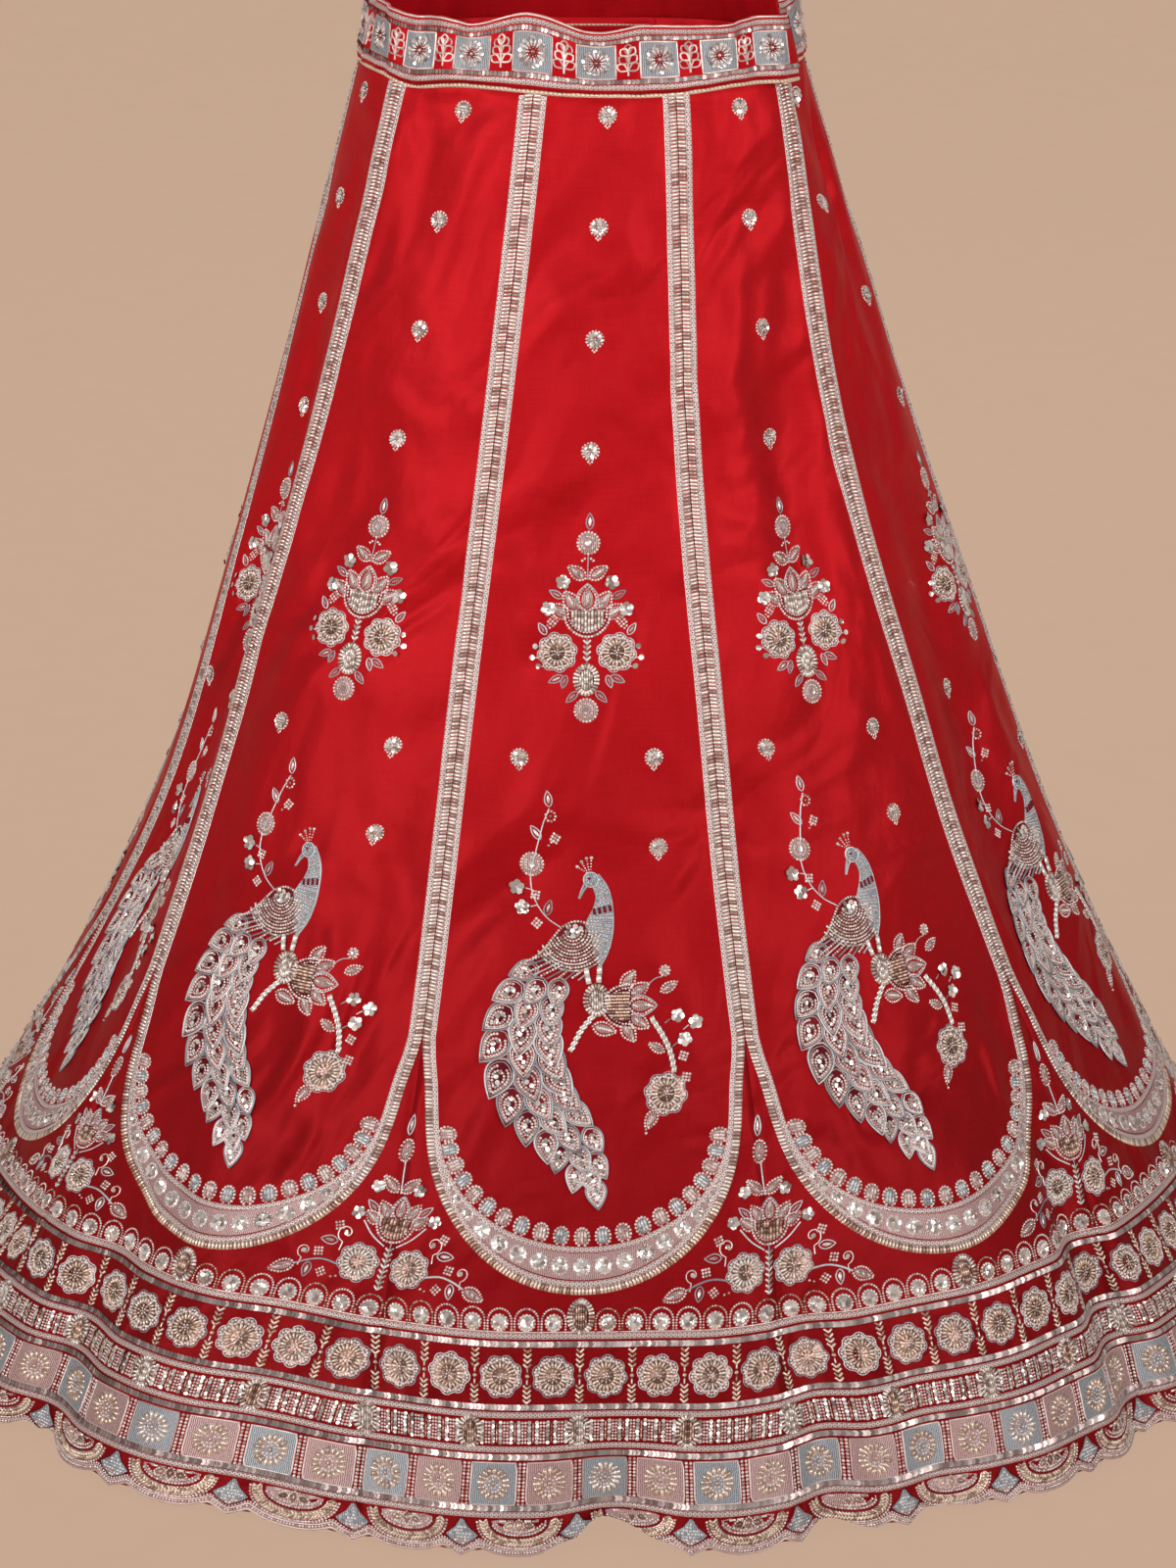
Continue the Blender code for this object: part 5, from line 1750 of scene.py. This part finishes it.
def belt_square(w, x, y):
    """A net square in a cord frame, with a flower of bugles and sequins on it."""
    xs = x + np.linspace(-1, 1, 9) * 14.0
    upper, lower = xy(xs, -SQUARE_TOP), xy(xs, -SQUARE_LOW)
    w.band(upper, lower, GREY_NET, 0.35, 6)
    w.cord(evenly(np.concatenate([upper, lower[::-1]]), 4.0), 1.4, CORD, 0.9, loop=True)
    w.plate(circle(x, y, 5.6, 14), MAROON, 0.42, 1)
    w.bugles(*around(x, y, 6.0, 14), 4.6, 1.45, PEARL, 1.1, 0.3)
    w.sequins(circle(x, y, 9.0, 18, 4), 1.45, lift=0.4, tilt=0.25)
    w.beads([[x, y]], 1.7, COPPER, lift=0.4)
    w.beads(circle(x, y, 2.9, 8), 0.7)


def lay_out_belt(total, centre):
    """The belt's work, flat: x along the belt in mm from its left end, y down from its lower edge."""
    w = Flatwork()

    def line(height):
        return xy(np.arange(0.6, total - 0.6, 4.0), -height)

    w.chain(line(LOW_CHAIN), 3.7, 3.2)
    w.chain(line(TOP_CHAIN), 3.7, 3.2)
    w.cord(line(BELT_EDGE), 1.5, CORD, 1.0)
    w.sequin_row(line(LOW_SEQUINS), 1.9, 2.9)
    w.sequin_row(line(TOP_SEQUINS), 1.7, 2.8)
    middle = -(SQUARE_LOW + SQUARE_TOP) / 2
    for index in range(-12, 13):
        x = centre + index * BELT_PITCH
        if 15.0 < x < total - 15.0:
            belt_square(w, x, middle)
        if 8 < x + BELT_PITCH / 2 < total - 8:
            sprig(w, x + BELT_PITCH / 2, middle)
    return w.arrays()


def make_piping(is_front, material, sides=9):
    """A round cord under the belt's lower edge."""
    side = "front" if is_front else "back"
    angles = belt_angles(is_front, 301)
    outward, up = outward_at(angles), np.array([0.0, 0.0, 1.0])
    middle = band_surface(angles, 0 * angles, is_front) - PIPING_RADIUS * outward - (PIPING_RADIUS + SEAM_GAP) * up
    spin = (TURN * np.arange(sides) / sides)[None, :, None]
    ring = np.cos(spin) * outward[:, None] + np.sin(spin) * up
    points = (middle[:, None] + PIPING_RADIUS * 1.02 * ring).reshape(-1, 3)
    uv = xy(travelled(middle)[:, None], np.arange(sides) / sides).reshape(-1, 2)
    numbers = np.arange(len(points)).reshape(-1, sides)
    quads = grid_faces(np.hstack([numbers, numbers[:, :1]]))
    caps = numbers[:1], numbers[-1:, ::-1]
    piece = make_mesh("cord_piping_" + side, points, [quads, *caps], [material], uv=uv)
    return dress(piece, "cream_cord", "piping_" + side)


CREAM = cord_material()
belts = []  # (cloth, its length in metres, the pieces sewn to it)
for is_front in (True, False):
    piece, outer, run = make_belt(is_front)
    centre = float(np.interp(BELT_MIDDLE_ANGLE, belt_angles(True, len(run)), run)) if is_front else run[-1] / 2
    work = lay_out_belt(run[-1] * 1000, centre * 1000)
    sewn = on_belt(outer, normals_of(outer), run, work[0], work[1])
    trim = sew_on(f"beadwork_waistband_{'front' if is_front else 'back'}", work, sewn)
    belts.append((piece, float(run[-1]), [trim, make_piping(is_front, CREAM)]))

# ---------------------------------------------------------------- what the cloth pieces were cut to

cut_drops = np.linspace(0, SKIRT_DROP, 41)
for panel, piece in enumerate(panels):
    lengths, widths = length_at(cut_drops), width_of(panel, cut_drops)
    cut_area = float(((widths[1:] + widths[:-1]) / 2 * np.diff(lengths)).sum())
    front = -2.5 < (panel if panel < 6 else panel - PANELS) < 2.5
    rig.sheet(
        piece, flat=(round(float(widths.max()), 3), round(float(lengths[-1]), 3)), area=round(cut_area, 3), held="hung",
        rests_on=["cloth_waistband_front" if front else "cloth_waistband_back"], with_pieces=[beadwork[panel]],
    )
    print(f"cut {panel + 1}: {widths.max():.3f} x {lengths[-1]:.3f} m, {cut_area:.3f} m2")
for piece, length, sewn_to_it in belts:
    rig.sheet(piece, flat=(round(length, 3), BAND_HEIGHT), held="stretched", with_pieces=sewn_to_it)

# ---------------------------------------------------------------- the camera, floor and light

CAMERA = (0.0, -3.69, 0.6665)
PITCH = 18.7  # degrees down
LENS, SENSOR = 117.2, 36.0  # mm
FLOOR_Z, FLOOR_REACH = -0.9785, 14.0
WHITE, WARM_WHITE, LOW_WARM = (1, 1, 1), (1.0, 0.985, 0.97), (1.0, 0.97, 0.93)
WORLD_STRENGTH = 0.27
ABOVE_SKIRT = (0, 0, 0.45)
LIGHTS = (  # name, location, target, size, power, colour and spread in degrees
    ("key", (-0.4, -3.9, 2.3), ABOVE_SKIRT, (1.6, 1.0), 3.5, WARM_WHITE, 55),
    ("left", (-3.7, -3.0, 2.1), ABOVE_SKIRT, (1.4, 1.8), 12.0, WARM_WHITE, 55),
    ("right", (3.7, -3.0, 2.1), ABOVE_SKIRT, (1.4, 1.8), 11.4, WARM_WHITE, 55),
    ("low_left", (-2.6, -2.6, -0.1), (-0.25, -0.35, -0.85), (1.0, 0.6), 1.15, LOW_WARM, 40),
    ("low_right", (2.6, -2.6, -0.1), (0.25, -0.35, -0.85), (1.0, 0.6), 0.75, LOW_WARM, 40),
    ("glint_left", (-1.5, -3.0, 1.0), (0, 0, -0.5), (0.10, 0.10), 5, WHITE, 180),
    ("glint_right", (1.2, -3.3, 1.5), (0, 0, -0.6), (0.10, 0.10), 5, WHITE, 180),
    ("back", (0.6, 3.2, 1.8), (0, 0, -0.35), (1.2, 1.2), 48, WHITE, 180),
)


def add_to_scene(name, data, location, rotation):
    thing = bpy.data.objects.new(name, data)
    thing.location, thing.rotation_euler = location, rotation
    bpy.context.scene.collection.objects.link(thing)
    return thing


camera_data = bpy.data.cameras.new("camera")
camera_data.lens, camera_data.sensor_width = LENS, SENSOR
bpy.context.scene.camera = add_to_scene("camera", camera_data, CAMERA, (math.radians(90 - PITCH), 0, 0))

floor_look = Look("floor", Roughness=0.9, Specular_IOR_Level=0.0, Emission_Strength=0.93)
floor_noise = floor_look.noise(floor_look.node("TexCoord", out=3), 30.0, 3.0)
floor_look.use(
    Base_Color=(0.045, 0.031, 0.023),
    Emission_Color=floor_look.ramp(floor_noise, (0.3, (0.580, 0.396, 0.287)), (0.7, (0.592, 0.403, 0.293))),
)
corners = np.array([(x * FLOOR_REACH, y * FLOOR_REACH, FLOOR_Z) for x, y in ((-1, -1), (1, -1), (1, 1), (-1, 1))])
floor = make_mesh("floor", corners, [np.array([[0, 1, 2, 3]])], [floor_look.material], smooth=False)
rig.stage(floor)

for name, location, target, size, power, colour, spread in LIGHTS:
    lamp = bpy.data.lights.new(name, "AREA")
    lamp.spread, lamp.shape = math.radians(spread), "RECTANGLE"
    lamp.size, lamp.size_y = size
    lamp.energy, lamp.color = power, colour
    aim = (Vector(target) - Vector(location)).to_track_quat("-Z", "Y").to_euler()
    add_to_scene(name, lamp, location, aim)
world = bpy.data.worlds.new("world")
world.use_nodes = True
background = world.node_tree.nodes["Background"]
background.inputs[0].default_value = (*WARM_WHITE, 1.0)
background.inputs[1].default_value = WORLD_STRENGTH
bpy.context.scene.world = world
bpy.context.scene.view_settings.view_transform = "Standard"

bpy.context.view_layer.update()
with open("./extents.json", "w") as file:
    json.dump({"cad": CAD_BOX, "visual": [list(corner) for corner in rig.bounds()]}, file)
